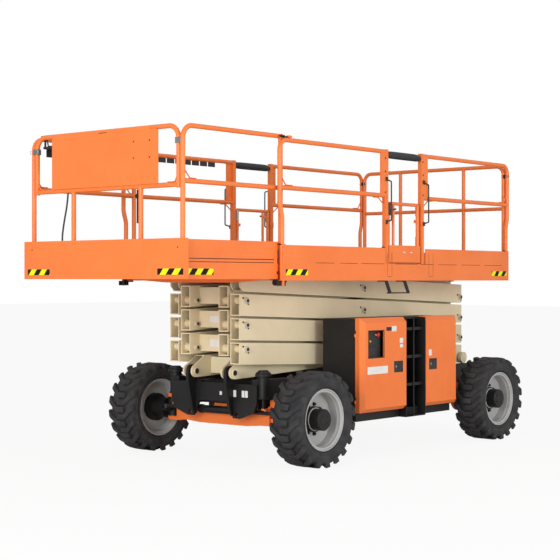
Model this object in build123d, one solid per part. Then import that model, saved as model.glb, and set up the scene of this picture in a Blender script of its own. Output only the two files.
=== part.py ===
from build123d import *
import math
import os

# Rough-terrain scissor lift, in millimetres. +X is forward, towards the steered axle and the
# roll-out deck, +Y is the operator's left and +Z is up. Stations along X are measured from the
# middle of the wheelbase, and save() moves the whole machine so that its box is centred on X = 0.
# The mast is stowed, the deck extension is rolled out and every door and gate is shut.

# ---------------------------------------------------------------- driving sizes: running gear
WHEELBASE = 3000
TRACK = 2060
TYRE_DIAMETER = 872
TYRE_WIDTH = 330
LUG_HEIGHT = 30
LUGS_PER_SIDE = 19
LUG_SHARE = 0.46
RIM_DIAMETER = 560
RIM_WIDTH = 270
SEAT_DROP = 22
FLANGE = 20
HUB_DIAMETER = 190
DISC_PLACE = -34
DISC_THICKNESS = 20
DISC_CLEARANCE = 5
KINGPIN_Y = 720
KINGPIN_RADIUS = 30
AXLE_HEIGHT = TYRE_DIAMETER / 2
STEER_ARM = 130
TIE_ROD_Y = 690
TIE_ROD_DIAMETER = 34

# ---------------------------------------------------------------- driving sizes: mast
LEVELS = 4
FRONT_PIN_X = WHEELBASE / 2 + 250
REAR_PIN_X = -WHEELBASE / 2 - 350
BASE_PIN_Z = 834
LEVEL_RISE = 222.5
ARM_HEIGHT = 200
ARM_WALL = 10
PIN_OFFSET = 40
FRONT_OVERHANG = 83
REAR_OVERHANG = 45
OUTER_ARM_Y = (325, 440)
INNER_ARM_Y = (180, 300)
PIN_RADIUS = 25
PIN_FIT = 0.06
BOSS_RADIUS = 40
EYE_REACH = 650
CYLINDER_RADIUS = 62
ROD_RADIUS = 38
SLEEVE_RADIUS = 36
HEAD_RADIUS = 34
HEAD_THICKNESS = 10
CLEVIS_Y = (68, 84)

# ---------------------------------------------------------------- driving sizes: platform
DECK_FRONT = FRONT_PIN_X + 162
DECK_REAR = REAR_PIN_X - 87
DECK_HALF_WIDTH = 1017.5
DECK_BOTTOM = 1686
FLOOR_TOP = 1850
TOE_TOP = 2002
SKIN = 10
RAIL_TOP = 2955
RAIL_DIAMETER = 42
MID_RAIL_Z = RAIL_TOP - 445
GATE_X = (-290, 322)
GATE_POST_WIDTH = 46
FRONT_JOG = 33
REAR_JOG = 30
JOG_Z = (TOE_TOP + 248, TOE_TOP + 358)
TEE_DIAMETER = 40
EXTENSION_FRONT = DECK_FRONT + 1218
EXTENSION_RISE = 35
EXTENSION_OVERLAP = 750
SLIDE_GAP = 7.5

# ---------------------------------------------------------------- driving sizes: chassis
RAIL_Y = (462, 540)
TIE_DOWN_Y = 290
TIE_DOWN_FRONT_Z = 448
TIE_DOWN_REAR_Z = 500
TIE_DOWN_RADIUS = 20
END_PLATE = 22
RAIL_Z = (500, 772)
CHASSIS_X = (-WHEELBASE / 2 - 400, WHEELBASE / 2 + 190)
CABINET_X = (-874, 745)
CABINET_Y = (552, 945)
CABINET_Z = (345, 1322)
LADDER_X = (-300, 40)
DOOR_FACE_Y = 1040
DOOR_BEVEL = 42
PANEL = 16
HINGE_RADIUS = 8
HINGE_LENGTH = 30

# ---------------------------------------------------------------- sizes that follow from those
AXLE_X = WHEELBASE / 2
POST_Y = DECK_HALF_WIDTH - SKIN - RAIL_DIAMETER / 2
EXTENSION_SIDE_Y = POST_Y - RAIL_DIAMETER / 2 - SLIDE_GAP
EXTENSION_POST_Y = EXTENSION_SIDE_Y - SKIN - RAIL_DIAMETER / 2
REAR_POST_X = DECK_REAR - RAIL_DIAMETER / 2
ORIGIN_X = (EXTENSION_FRONT + REAR_POST_X - RAIL_DIAMETER / 2) / 2
MID_PIN_X = (FRONT_PIN_X + REAR_PIN_X) / 2


# ---------------------------------------------------------------- shared ways of making shapes
def weld(*pieces):
    """Several shapes as one."""
    whole = Part()
    flat = []
    for piece in pieces:
        flat.extend(piece if isinstance(piece, list) else [piece])
    return whole + flat


def block(x, y, z):
    """A block between the (low, high) pairs x, y and z."""
    size = Box(abs(x[1] - x[0]), abs(y[1] - y[0]), abs(z[1] - z[0]))
    return Pos((x[0] + x[1]) / 2, (y[0] + y[1]) / 2, (z[0] + z[1]) / 2) * size


def side_profile(outline, y):
    """An outline of (x, z) points made solid between the (low, high) pair y."""
    edge = Polyline(*[(px, min(y), pz) for px, pz in outline], close=True)
    return extrude(make_face(edge), amount=abs(y[1] - y[0]), dir=(0, 1, 0))


def plan_profile(outline, z):
    """An outline of (x, y) points made solid between the (low, high) pair z."""
    edge = Polyline(*[(px, py, min(z)) for px, py in outline], close=True)
    return extrude(make_face(edge), amount=abs(z[1] - z[0]), dir=(0, 0, 1))


def front_profile(outline, x):
    """An outline of (y, z) points made solid between the (low, high) pair x."""
    edge = Polyline(*[(min(x), py, pz) for py, pz in outline], close=True)
    return extrude(make_face(edge), amount=abs(x[1] - x[0]), dir=(1, 0, 0))


def bar(start, end, diameter):
    """A straight round bar between two points."""
    line = Line(start, end)
    section = Plane(origin=start, z_dir=line % 0) * Circle(diameter / 2)
    return extrude(section, amount=line.length)


def cross_bar(x, z, y, radius):
    """A round bar along Y."""
    return bar((x, min(y), z), (x, max(y), z), 2 * radius)


def bent_tube(points, diameter, bend):
    """A round tube along straight runs with every corner bent to one radius."""
    path = FilletPolyline(*points, radius=bend)
    section = Plane(origin=path @ 0, z_dir=path % 0) * Circle(diameter / 2)
    return sweep(section, path=path)


def other_side(shape):
    """The same shape on the other side of the machine."""
    return mirror(shape, about=Plane.XZ)


def both_sides(shape):
    return [shape, other_side(shape)]


def save(name, shape):
    """Writes one sub-part, moved so that the machine's box is centred on X = 0."""
    placed = Pos(-ORIGIN_X, 0, 0) * shape
    solids = placed.solids()
    whole = solids[0] if len(solids) == 1 else Compound(children=list(solids))
    os.makedirs("parts", exist_ok=True)
    export_step(whole, f"parts/{name}.step")


# ---------------------------------------------------------------- wheels
def tyre():
    """Block-lug tyre about the Y axis, centred on the origin, with its lugs out to full diameter."""
    tread = TYRE_DIAMETER / 2 - LUG_HEIGHT
    half = TYRE_WIDTH / 2 - 6
    rim = RIM_DIAMETER / 2
    seat = rim - SEAT_DROP
    bead = RIM_WIDTH / 2 - FLANGE - 1
    right = [
        (seat, bead),
        (rim + 2, bead),
        (rim + 8, half * 0.9),
        (rim + 50, half),
        (tread - 48, half),
        (tread, half * 0.72),
    ]
    outline = right + [(r, -y) for r, y in reversed(right)]
    edge = Polyline(*[(r, y, 0) for r, y in outline], close=True)
    carcass = revolve(make_face(edge), axis=Axis.Y)
    return weld(carcass, lugs())


def lugs():
    """The tread's lugs: each is slanted by the centre line and square to it at the shoulder."""
    tip = TYRE_DIAMETER / 2
    half = TYRE_WIDTH / 2
    width = LUG_SHARE * math.pi * TYRE_DIAMETER / LUGS_PER_SIDE
    slant = 0.62 * half * 0.5
    # (along the tread, across it) round one lug, from its inner end to the shoulder and back
    plan = [
        (width / 2 + slant / 2, -half * 0.07),
        (width / 2 - slant / 2, half * 0.5),
        (width / 2 - slant / 2, half),
        (-width / 2 - slant / 2, half),
        (-width / 2 - slant / 2, half * 0.5),
        (-width / 2 + slant / 2 + width * 0.35, -half * 0.07),
    ]
    farthest = max(abs(along) for along, _ in plan)
    top = math.sqrt(tip**2 - farthest**2)
    base = tip - LUG_HEIGHT - 60
    edge = Polyline(*[(along, across, base) for along, across in plan], close=True)
    one = extrude(make_face(edge), amount=top - base, dir=(0, 0, 1))
    shoulder = front_profile(
        [(half * 0.8, top + 1), (half + 1, top + 1), (half + 1, top - 62)],
        (-farthest - 1, farthest + 1),
    )
    one -= shoulder
    step = 360 / LUGS_PER_SIDE
    pair = [one, Rot(0, step / 2, 0) * Rot(0, 0, 180) * one]
    return [Rot(0, step * i, 0) * lug for i in range(LUGS_PER_SIDE) for lug in pair]


def wheel():
    """Deep-dished rim with its drive hub, about the Y axis; +Y is the outer face."""
    rim = RIM_DIAMETER / 2
    half = RIM_WIDTH / 2
    seat = rim - SEAT_DROP
    hub = HUB_DIAMETER / 2
    disc_inner, disc_outer = DISC_PLACE, DISC_PLACE + DISC_THICKNESS
    # (radius, along the axle) round the rim's section, with its stepped outer flange
    outline = [
        (rim, half),
        (rim, half - 14),
        (seat - 0.5, half - FLANGE),
        (seat - 0.5, -half + FLANGE),
        (rim, -half + 14),
        (rim, -half),
        (rim - 10, -half),
        (seat - 14, -half + 30),
        (seat - 14, disc_inner + 14),
        (hub + 60, disc_inner),
        (0, disc_inner),
        (0, half - 2),
        (hub - 12, half - 2),
        (hub, half - 14),
        (hub, 30),
        (hub + 20, 24),
        (hub + 20, disc_outer),
        (hub + 60, disc_outer),
        (seat - 14, disc_outer + 18),
        (seat - 14, half - 52),
        (rim - 30, half - 40),
        (rim - 30, half - 16),
        (rim - 14, half - 12),
        (rim - 10, half),
    ]
    return revolve(make_face(Polyline(*[(r, y, 0) for r, y in outline], close=True)), axis=Axis.Y)


# name of the corner, X of the axle, side (+1 left)
CORNERS = [
    ("front_left", AXLE_X, 1),
    ("front_right", AXLE_X, -1),
    ("rear_left", -AXLE_X, 1),
    ("rear_right", -AXLE_X, -1),
]


def make_wheels():
    plain_tyre, plain_wheel = tyre(), wheel()
    for corner, x, side in CORNERS:
        place = Pos(x, side * TRACK / 2, AXLE_HEIGHT)
        save(f"tyre_{corner}", place * plain_tyre)
        save(f"wheel_{corner}", place * (plain_wheel if side > 0 else other_side(plain_wheel)))


# ---------------------------------------------------------------- axles and steering
YOKE_Z = (330, 585)
YOKE_PLATE = 34
YOKE_RADIUS = 52
KNUCKLE_GAP = 5
STEER_Z = 470
HUB_MOTOR_DIAMETER = 190
MOTOR_FLANGE_DIAMETER = 270
BEAM_HALF = 75
OSCILLATION_Z = 575
OSCILLATION_RADIUS = 28
HANGER = 24
LOCK_CYLINDER_X = AXLE_X + 136
LOCK_CYLINDER_Y = 555
LOCK_CYLINDER_RADIUS = 54
LOCK_SEAT_Z = 512


def front_axle():
    """Steered axle: a box beam on its rocking pin, which flares into a C-shaped yoke over each kingpin."""
    half_beam = [
        (150, 500), (420, 462), (530, 486), (575, 530), (575, 345), (480, 345), (300, 330),
    ]
    beam = front_profile(
        half_beam + [(-y, z) for y, z in reversed(half_beam)],
        (AXLE_X - BEAM_HALF, AXLE_X + BEAM_HALF),
    )
    yokes = []
    for side in (1, -1):
        yokes.append(block((AXLE_X - 50, AXLE_X + 50), (side * 565, side * 628), YOKE_Z))
        for low, high in ((YOKE_Z[0], YOKE_Z[0] + YOKE_PLATE), (YOKE_Z[1] - YOKE_PLATE, YOKE_Z[1])):
            reach = (side * 600, side * KINGPIN_Y)
            yokes.append(block((AXLE_X - YOKE_RADIUS, AXLE_X + YOKE_RADIUS), reach, (low, high)))
            yokes.append(bar((AXLE_X, side * KINGPIN_Y, low), (AXLE_X, side * KINGPIN_Y, high), 2 * YOKE_RADIUS))
    pivot = front_profile(
        [(-130, 480), (-70, OSCILLATION_Z), (70, OSCILLATION_Z), (130, 480)],
        (AXLE_X - BEAM_HALF, AXLE_X + BEAM_HALF),
    )
    boss = bar((AXLE_X - BEAM_HALF, 0, OSCILLATION_Z), (AXLE_X + BEAM_HALF, 0, OSCILLATION_Z), 140)
    pin_reach = BEAM_HALF + KNUCKLE_GAP + HANGER + 6
    pin = bar((AXLE_X - pin_reach, 0, OSCILLATION_Z), (AXLE_X + pin_reach, 0, OSCILLATION_Z), 2 * OSCILLATION_RADIUS)
    kingpins = [bar((AXLE_X, side * KINGPIN_Y, YOKE_Z[0] - 10), (AXLE_X, side * KINGPIN_Y, YOKE_Z[1] + 14),
                    2 * KINGPIN_RADIUS) for side in (1, -1)]
    pad_y = (RAIL_Y[1] + 6, LOCK_CYLINDER_Y + 28)
    lock_pads = both_sides(block((AXLE_X, LOCK_CYLINDER_X + 18), pad_y, (LOCK_SEAT_Z - 16, LOCK_SEAT_Z)))
    return weld(beam, yokes, pivot, boss, pin, kingpins, lock_pads)


def knuckle():
    """Left steering knuckle: it turns on the kingpin and carries the wheel's motor."""
    x, y = AXLE_X, KINGPIN_Y
    low = YOKE_Z[0] + YOKE_PLATE + KNUCKLE_GAP
    high = YOKE_Z[1] - YOKE_PLATE - KNUCKLE_GAP
    barrel = bar((x, y, low), (x, y, high), 104)
    motor_y = y + YOKE_RADIUS + 8
    neck = bar((x, y, AXLE_HEIGHT), (x, motor_y + 5, AXLE_HEIGHT), 100)
    motor_end = TRACK / 2 + DISC_PLACE - DISC_CLEARANCE
    motor = bar((x, motor_y, AXLE_HEIGHT), (x, motor_end, AXLE_HEIGHT), HUB_MOTOR_DIAMETER)
    flange = bar((x, motor_end - 55, AXLE_HEIGHT), (x, motor_end, AXLE_HEIGHT), MOTOR_FLANGE_DIAMETER)
    end = 28
    arm = plan_profile(
        [(x + 20, y - 30), (x + 20, y + 20), (x + STEER_ARM + end, TIE_ROD_Y + end),
         (x + STEER_ARM + end, TIE_ROD_Y - end), (x + STEER_ARM - end, TIE_ROD_Y - end)],
        (STEER_Z - 44, STEER_Z - 24),
    )
    body = weld(barrel, neck, motor, flange, arm)
    bore = bar((x, y, low - 20), (x, y, high + 20), 2 * (KINGPIN_RADIUS + PIN_FIT))
    return body - bore


def steering_rod():
    """The steering cylinder's through rod with a tie rod and eye at each end, as one sliding piece."""
    x = AXLE_X + STEER_ARM
    rod = bar((x, -TIE_ROD_Y, STEER_Z), (x, TIE_ROD_Y, STEER_Z), TIE_ROD_DIAMETER)
    eyes = [bar((x, side * TIE_ROD_Y, STEER_Z - 18), (x, side * TIE_ROD_Y, STEER_Z + 18), 58) for side in (1, -1)]
    studs = [bar((x, side * TIE_ROD_Y, STEER_Z - 23), (x, side * TIE_ROD_Y, STEER_Z), 30) for side in (1, -1)]
    return weld(rod, eyes, studs)


def steering_cylinder():
    """Barrel of the steering cylinder, bolted to the front of the steered axle."""
    x = AXLE_X + STEER_ARM
    barrel = bar((x, -240, STEER_Z), (x, 240, STEER_Z), 72)
    glands = [bar((x, side * 205, STEER_Z), (x, side * 240, STEER_Z), 84) for side in (1, -1)]
    feet = [
        block((AXLE_X + BEAM_HALF, x), sorted((side * 150, side * 180)), (STEER_Z - 34, STEER_Z + 20))
        for side in (1, -1)
    ]
    bore = bar((x, -260, STEER_Z), (x, 260, STEER_Z), TIE_ROD_DIAMETER + 2 * PIN_FIT)
    return weld(barrel, glands, feet) - bore


def rear_axle():
    """Fixed axle: a box beam under the chassis with a wheel motor on each end."""
    x = -AXLE_X
    beam = block((x - 75, x + 75), (-640, 640), (360, 500))
    flanges = [bar((x, side * 640, AXLE_HEIGHT), (x, side * 680, AXLE_HEIGHT), 300) for side in (1, -1)]
    motor_end = TRACK / 2 + DISC_PLACE - DISC_CLEARANCE
    motors = [bar((x, side * 680, AXLE_HEIGHT), (x, side * motor_end, AXLE_HEIGHT), HUB_MOTOR_DIAMETER)
              for side in (1, -1)]
    hub_flanges = [bar((x, side * (motor_end - 55), AXLE_HEIGHT), (x, side * motor_end, AXLE_HEIGHT),
                       MOTOR_FLANGE_DIAMETER) for side in (1, -1)]
    return weld(beam, flanges, motors, hub_flanges)


# ---------------------------------------------------------------- chassis
FRONT_PLATE_X = (CHASSIS_X[1], CHASSIS_X[1] + END_PLATE)
LUG_Y = (222, 254)
LUG_RADIUS = 62
MEMBER_X = (CHASSIS_X[0] + 10, -1000, 0, 900)
MEMBER_LENGTH = 90
MEMBER_Z = (600, 720)
REAR_HANGER_X = AXLE_X - BEAM_HALF - KNUCKLE_GAP - HANGER
FRONT_HANGER_X = AXLE_X + BEAM_HALF + KNUCKLE_GAP


def axle_hangers():
    """Two plates that carry the steered axle's rocking pin, tied by the webs behind the mast's lugs."""
    wide = [(-RAIL_Y[0], 600), (-RAIL_Y[0], 740), (RAIL_Y[0], 740), (RAIL_Y[0], 600), (60, 530), (-60, 530)]
    narrow = [(-LUG_Y[1], 600), (-LUG_Y[1], 740), (LUG_Y[1], 740), (LUG_Y[1], 600), (60, 530), (-60, 530)]
    plates = [
        front_profile(wide, (REAR_HANGER_X, REAR_HANGER_X + HANGER)),
        front_profile(narrow, (FRONT_HANGER_X, FRONT_HANGER_X + HANGER)),
    ]
    webs = both_sides(block((REAR_HANGER_X, FRONT_PLATE_X[0]), LUG_Y, (640, 740)))
    return weld(plates, webs)


def chassis_frame():
    """Two deep rails, a lobed front plate with the mast's pivot lugs, cross members and a rear plate."""
    rails = both_sides(block(CHASSIS_X, RAIL_Y, RAIL_Z))
    front = front_profile(
        [(-500, 470), (-330, 410), (-250, 410), (-170, 560), (170, 560), (250, 410), (330, 410), (500, 470),
         (RAIL_Y[1], 560), (RAIL_Y[1], 730), (-RAIL_Y[1], 730), (-RAIL_Y[1], 560)],
        FRONT_PLATE_X,
    )
    outline = [
        (FRONT_PLATE_X[1] - 5, 430),
        (FRONT_PLATE_X[1] + 34, 455),
        (FRONT_PLATE_X[1] + 58, 560),
        (FRONT_PIN_X + LUG_RADIUS, 730),
        (FRONT_PIN_X + LUG_RADIUS, BASE_PIN_Z),
        (FRONT_PIN_X - LUG_RADIUS, BASE_PIN_Z),
        (FRONT_PIN_X - LUG_RADIUS, 730),
        (FRONT_PLATE_X[0], 730),
        (FRONT_PLATE_X[0], 430),
    ]
    lugs = [side_profile(outline, tuple(side * y for y in LUG_Y)) for side in (1, -1)]
    noses = [cross_bar(FRONT_PIN_X, BASE_PIN_Z, tuple(side * y for y in LUG_Y), LUG_RADIUS) for side in (1, -1)]
    members = [block((x, x + MEMBER_LENGTH), (-RAIL_Y[0], RAIL_Y[0]), MEMBER_Z) for x in MEMBER_X]
    rear_x = CHASSIS_X[0] - END_PLATE
    rear = block((rear_x, CHASSIS_X[0]), (-RAIL_Y[1], RAIL_Y[1]), (450, 745))
    cabinet_pads = [
        shape for x in (-700, 480)
        for shape in both_sides(block((x, x + 120), (RAIL_Y[1], CABINET_Y[0]), (520, 745)))
    ]
    body = weld(rails, axle_hangers(), front, lugs, noses, members, rear, cabinet_pads)
    pivot = cross_bar(FRONT_PIN_X, BASE_PIN_Z, (-300, 300), PIN_RADIUS + PIN_FIT)
    rocking = bar((REAR_HANGER_X - 10, 0, OSCILLATION_Z), (FRONT_HANGER_X + HANGER + 10, 0, OSCILLATION_Z),
                  2 * (OSCILLATION_RADIUS + PIN_FIT))
    seats = both_sides(bar((LOCK_CYLINDER_X, LOCK_CYLINDER_Y, RAIL_Z[0] - 10),
                           (LOCK_CYLINDER_X, LOCK_CYLINDER_Y, RAIL_Z[1] + 10),
                           2 * (LOCK_CYLINDER_RADIUS + PIN_FIT)))
    eyes = [
        bar((x, side * TIE_DOWN_Y, z), (x + END_PLATE, side * TIE_DOWN_Y, z), 2 * TIE_DOWN_RADIUS)
        for x, z in ((FRONT_PLATE_X[0], TIE_DOWN_FRONT_Z), (rear_x, TIE_DOWN_REAR_Z))
        for side in (1, -1)
    ]
    return body - weld(pivot, rocking, seats, eyes)


def oscillation_cylinders():
    """The two upright cylinders, seated in the rails, that lock the steered axle's rocking."""
    x, y, radius = LOCK_CYLINDER_X, LOCK_CYLINDER_Y, LOCK_CYLINDER_RADIUS
    one = weld(
        bar((x, y, 615), (x, y, 810), 2 * radius),
        bar((x, y, 810), (x, y, 850), 2 * radius + 14),
        bar((x, y, 850), (x, y, 862), 2 * radius - 16),
        bar((x, y, LOCK_SEAT_Z), (x, y, 620), 32),
    )
    return both_sides(one)


# side (+1 left), name
SIDES = [("left", 1), ("right", -1)]


def cabinet():
    """Left cabinet: an open-fronted box in two bays, with the ladder recess between them."""
    inner, outer = CABINET_Y
    floor = block(CABINET_X, (inner, outer), (CABINET_Z[0], CABINET_Z[0] + PANEL))
    roof = block(CABINET_X, (inner, outer), (CABINET_Z[1] - PANEL, CABINET_Z[1]))
    back = block(CABINET_X, (inner, inner + PANEL), CABINET_Z)
    walls = [
        block((x, x + PANEL), (inner, outer), CABINET_Z)
        for x in (CABINET_X[0], LADDER_X[0] - PANEL, LADDER_X[1], CABINET_X[1] - PANEL)
    ]
    sill = block(CABINET_X, (outer - 12, outer), (CABINET_Z[0], DOOR_Z[0] - DOOR_GAP))
    jambs = [
        block((x, x + 6), (outer - 10, DOOR_FACE_Y - 4), (CABINET_Z[0], DOOR_Z[1] - 8))
        for x in (LADDER_X[0] + DOOR_GAP, LADDER_X[1] - DOOR_GAP - 6)
    ]
    cheeks = [
        block(x, (outer - 10, outer), (CABINET_Z[0], DOOR_Z[1] - 8))
        for x in ((LADDER_X[0], LADDER_X[0] + DOOR_GAP + 2), (LADDER_X[1] - DOOR_GAP - 2, LADDER_X[1]))
    ]
    step_pan = block(LADDER_X, (outer - 10, DOOR_FACE_Y - 4), (CABINET_Z[0], CABINET_Z[0] + 8))
    leaves = []
    for hinge_x, wall_x in HINGES:
        for z in HINGE_Z:
            start = z + HINGE_LENGTH + 0.5
            leaves.append(bar((hinge_x, HINGE_Y, start), (hinge_x, HINGE_Y, start + HINGE_LENGTH), 2 * HINGE_RADIUS))
            leaves.append(block((wall_x, hinge_x), (HINGE_Y - 18, HINGE_Y - 2), (start, start + HINGE_LENGTH)))
    return weld(floor, roof, back, walls, sill, jambs, cheeks, step_pan, ladder(), leaves)


# Where the doors stand: Z from foot to top, the gap round them, and their hinges.
DOOR_Z = (430, 1330)
DOOR_GAP = 3
DOOR_OVERLAP = 15
HINGE_Y = CABINET_Y[1] + 5
HINGE_Z = (520, 1150)
# X of the hinge's axis, X of the cabinet wall that it is screwed to
HINGES = [
    (CABINET_X[1] + DOOR_OVERLAP, CABINET_X[1]),
    (CABINET_X[0] - DOOR_OVERLAP, CABINET_X[0]),
]
# which door, X of its free edge, X of its hinge, latch pocket's X, window's X or None
DOORS = [
    ("front", LADDER_X[1] + DOOR_GAP, CABINET_X[1] + DOOR_OVERLAP, (101, 251), (420, 666)),
    ("rear", LADDER_X[0] - DOOR_GAP, CABINET_X[0] - DOOR_OVERLAP, (-495, -356), None),
]
DOOR_SHEET = 10
DOOR_SHOULDER_Y = CABINET_Y[1] + 55
TOP_BEVEL = 46
BOTTOM_BEVEL = 36
POCKET_Z = (794, 905)
POCKET_DEPTH = 7
WINDOW_Z = (953, 1205)


def door_body(free_x, hinge_x, inset):
    """A pan with bevels along its hinge edge, top and bottom, smaller by inset all round."""
    inward = 1 if hinge_x > free_x else -1
    free, hinge = free_x + inward * inset, hinge_x - inward * inset
    base = HINGE_Y - (1 if inset else 0)
    shoulder, face = DOOR_SHOULDER_Y - inset / 2, DOOR_FACE_Y - inset
    low, high = DOOR_Z[0] + inset, DOOR_Z[1] - inset
    plan = plan_profile(
        [(free, base), (free, face), (hinge - inward * DOOR_BEVEL, face), (hinge, shoulder), (hinge, base)],
        DOOR_Z,
    )
    section = front_profile(
        [(base, low), (shoulder, low), (face, low + BOTTOM_BEVEL), (face, high - TOP_BEVEL), (shoulder, high),
         (base, high)],
        sorted((free_x - inward, hinge_x + inward)),
    )
    return plan & section


def door(free_x, hinge_x, pocket_x, window_x):
    """One cabinet door: a hollow bevelled pan with a latch pocket, hinge barrels and maybe a window."""
    pan = door_body(free_x, hinge_x, 0) - door_body(free_x, hinge_x, DOOR_SHEET)
    pocket = block(pocket_x, (DOOR_FACE_Y - POCKET_DEPTH, DOOR_FACE_Y + 1), POCKET_Z)
    pan -= pocket
    if window_x:
        pan -= block(window_x, (DOOR_FACE_Y - 2 * DOOR_SHEET, DOOR_FACE_Y + 1), WINDOW_Z)
    barrels = []
    for z in HINGE_Z:
        pan -= bar((hinge_x, HINGE_Y, z + HINGE_LENGTH), (hinge_x, HINGE_Y, z + 2 * HINGE_LENGTH + 1),
                   2 * HINGE_RADIUS + 4)
        barrels.append(bar((hinge_x, HINGE_Y, z), (hinge_x, HINGE_Y, z + HINGE_LENGTH), 2 * HINGE_RADIUS))
    return weld(pan, barrels)


def ladder():
    """Three flat rungs across the recess of the left cabinet, tied by a centre upright."""
    jamb = DOOR_GAP + 6
    rungs = [
        block((LADDER_X[0] + jamb, LADDER_X[1] - jamb), (CABINET_Y[1] + 20, CABINET_Y[1] + 58), (z - 14, z + 14))
        for z in (661, 935, 1210)
    ]
    middle = (LADDER_X[0] + LADDER_X[1]) / 2
    upright = block((middle - 8, middle + 8), (CABINET_Y[1] + 58, CABINET_Y[1] + 66), (CABINET_Z[0], DOOR_Z[1] - 20))
    return weld(rungs, upright)


def engine():
    """The engine, as one plain block on the floor of the right cabinet's rear bay."""
    floor = CABINET_Z[0] + PANEL
    return block((-820, -360), (-900, -590), (floor, floor + 520))


def ground_controls():
    """The ground control panel behind the left front door's window, screwed to the bay's front wall."""
    return block((380, CABINET_X[1] - PANEL), (860, 925), (920, 1240))


def make_chassis():
    save("chassis_frame", chassis_frame())
    save("front_axle", front_axle())
    save("rear_axle", rear_axle())
    save("oscillation_cylinders", weld(oscillation_cylinders()))
    save("steering_cylinder", steering_cylinder())
    save("steering_rod", steering_rod())
    save("engine", engine())
    save("ground_controls", ground_controls())
    for name, side in SIDES:
        facing = (lambda shape: shape) if side > 0 else other_side
        save(f"knuckle_{name}", facing(knuckle()))
        save(f"cabinet_{name}", facing(cabinet()))
        for which, free_x, hinge_x, pocket_x, window_x in DOORS:
            window = window_x if side > 0 else None
            save(f"door_{name}_{which}", facing(door(free_x, hinge_x, pocket_x, window)))


# ---------------------------------------------------------------- scissor mast
def pin_height(level):
    return BASE_PIN_Z + level * LEVEL_RISE


def arm_tube(front_z, rear_z, y):
    """One open-ended box-section arm along the line through (FRONT_PIN_X, front_z), (REAR_PIN_X, rear_z)."""
    slope = (front_z - rear_z) / (FRONT_PIN_X - REAR_PIN_X)
    ends = (REAR_PIN_X - REAR_OVERHANG, FRONT_PIN_X + FRONT_OVERHANG)

    def outline(half, reach):
        rear, front = ends[0] - reach, ends[1] + reach
        line = [(x, rear_z + slope * (x - REAR_PIN_X)) for x in (rear, front)]
        return [(x, z - half) for x, z in line] + [(x, z + half) for x, z in reversed(line)]

    shell = side_profile(outline(ARM_HEIGHT / 2, 0), y)
    hollow = side_profile(outline(ARM_HEIGHT / 2 - ARM_WALL, 20), (min(y) + ARM_WALL, max(y) - ARM_WALL))
    return shell - hollow


EYE_PLATE_Y = ((INNER_ARM_Y[0], INNER_ARM_Y[0] + 18), (INNER_ARM_Y[1] - 18, INNER_ARM_Y[1]))
EYE_RADIUS = 58
ROLLER_RADIUS = 61.5
CROSS_X = (FRONT_PIN_X - 100, REAR_PIN_X + 150)
BOTTOM_CROSS_X = FRONT_PIN_X - 260
ODD_CLEVIS_X = MID_PIN_X - EYE_REACH - 205
EVEN_CLEVIS_X = MID_PIN_X + EYE_REACH + 340


def on_line(front, rear, x):
    """Height at x of an inner arm's centre line."""
    return front + (front - rear) / (FRONT_PIN_X - REAR_PIN_X) * (x - FRONT_PIN_X)


def outer_arms(level):
    """The outer pair of one level, with its fixed pins: front end high, rear end low."""
    front, rear = pin_height(level), pin_height(level - 1)
    middle = (front + rear) / 2
    tube = arm_tube(front - PIN_OFFSET, rear + PIN_OFFSET, OUTER_ARM_Y)
    inner_end, outer_end = INNER_ARM_Y[0] - 10, OUTER_ARM_Y[1]
    head_y = (OUTER_ARM_Y[1] - 2, OUTER_ARM_Y[1] + HEAD_THICKNESS)
    places = [(MID_PIN_X, middle)]
    shapes = []
    if level < LEVELS:
        places.append((FRONT_PIN_X, front))
    else:
        shapes.append(cross_bar(FRONT_PIN_X, front, (OUTER_ARM_Y[0] - 32, OUTER_ARM_Y[1] + 36), PIN_RADIUS))
        shapes.append(cross_bar(FRONT_PIN_X, front, OUTER_ARM_Y, SLEEVE_RADIUS))
    if level > 1:
        places.append((REAR_PIN_X, rear))
    else:
        shapes.append(cross_bar(REAR_PIN_X, rear, (OUTER_ARM_Y[0], OUTER_ARM_Y[1] + 62), PIN_RADIUS))
        shapes.append(cross_bar(REAR_PIN_X, rear, OUTER_ARM_Y, SLEEVE_RADIUS))
        shapes.append(cross_bar(REAR_PIN_X, rear, (OUTER_ARM_Y[1] + 24, OUTER_ARM_Y[1] + 60), ROLLER_RADIUS))
    for x, z in places:
        shapes.append(cross_bar(x, z, (inner_end, outer_end), PIN_RADIUS))
        shapes.append(cross_bar(x, z, OUTER_ARM_Y, SLEEVE_RADIUS))
        shapes.append(cross_bar(x, z, head_y, HEAD_RADIUS))
    left = weld(tube, shapes)
    if level == LEVELS:
        corner = (FRONT_PIN_X + FRONT_OVERHANG, front - PIN_OFFSET - ARM_HEIGHT / 2)
        left -= side_profile(
            [(corner[0] - 62, corner[1] - 12), (corner[0] + 10, corner[1] - 12), (corner[0] + 10, corner[1] + 60)],
            (OUTER_ARM_Y[0] - 5, OUTER_ARM_Y[1] + 5),
        )
    return both_sides(left)


def lug_eyes(front_line):
    """The bottom arms' front ends: two ear plates a side with a pin, either side of the chassis lug."""
    shapes = []
    root_x = FRONT_PIN_X - 112
    for y in EYE_PLATE_Y:
        shapes.append(side_profile(
            [(root_x - 60, front_line - ARM_HEIGHT / 2 + 12), (root_x, front_line - ARM_HEIGHT / 2 + 4),
             (FRONT_PIN_X, BASE_PIN_Z - EYE_RADIUS), (FRONT_PIN_X + 20, BASE_PIN_Z + EYE_RADIUS - 4),
             (root_x, front_line + ARM_HEIGHT / 2 - 4), (root_x - 60, front_line + ARM_HEIGHT / 2 - 12)],
            y,
        ))
        shapes.append(cross_bar(FRONT_PIN_X, BASE_PIN_Z, y, EYE_RADIUS))
    shapes.append(cross_bar(FRONT_PIN_X, BASE_PIN_Z, (INNER_ARM_Y[0] - 8, INNER_ARM_Y[1] + 8), PIN_RADIUS))
    return shapes


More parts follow.
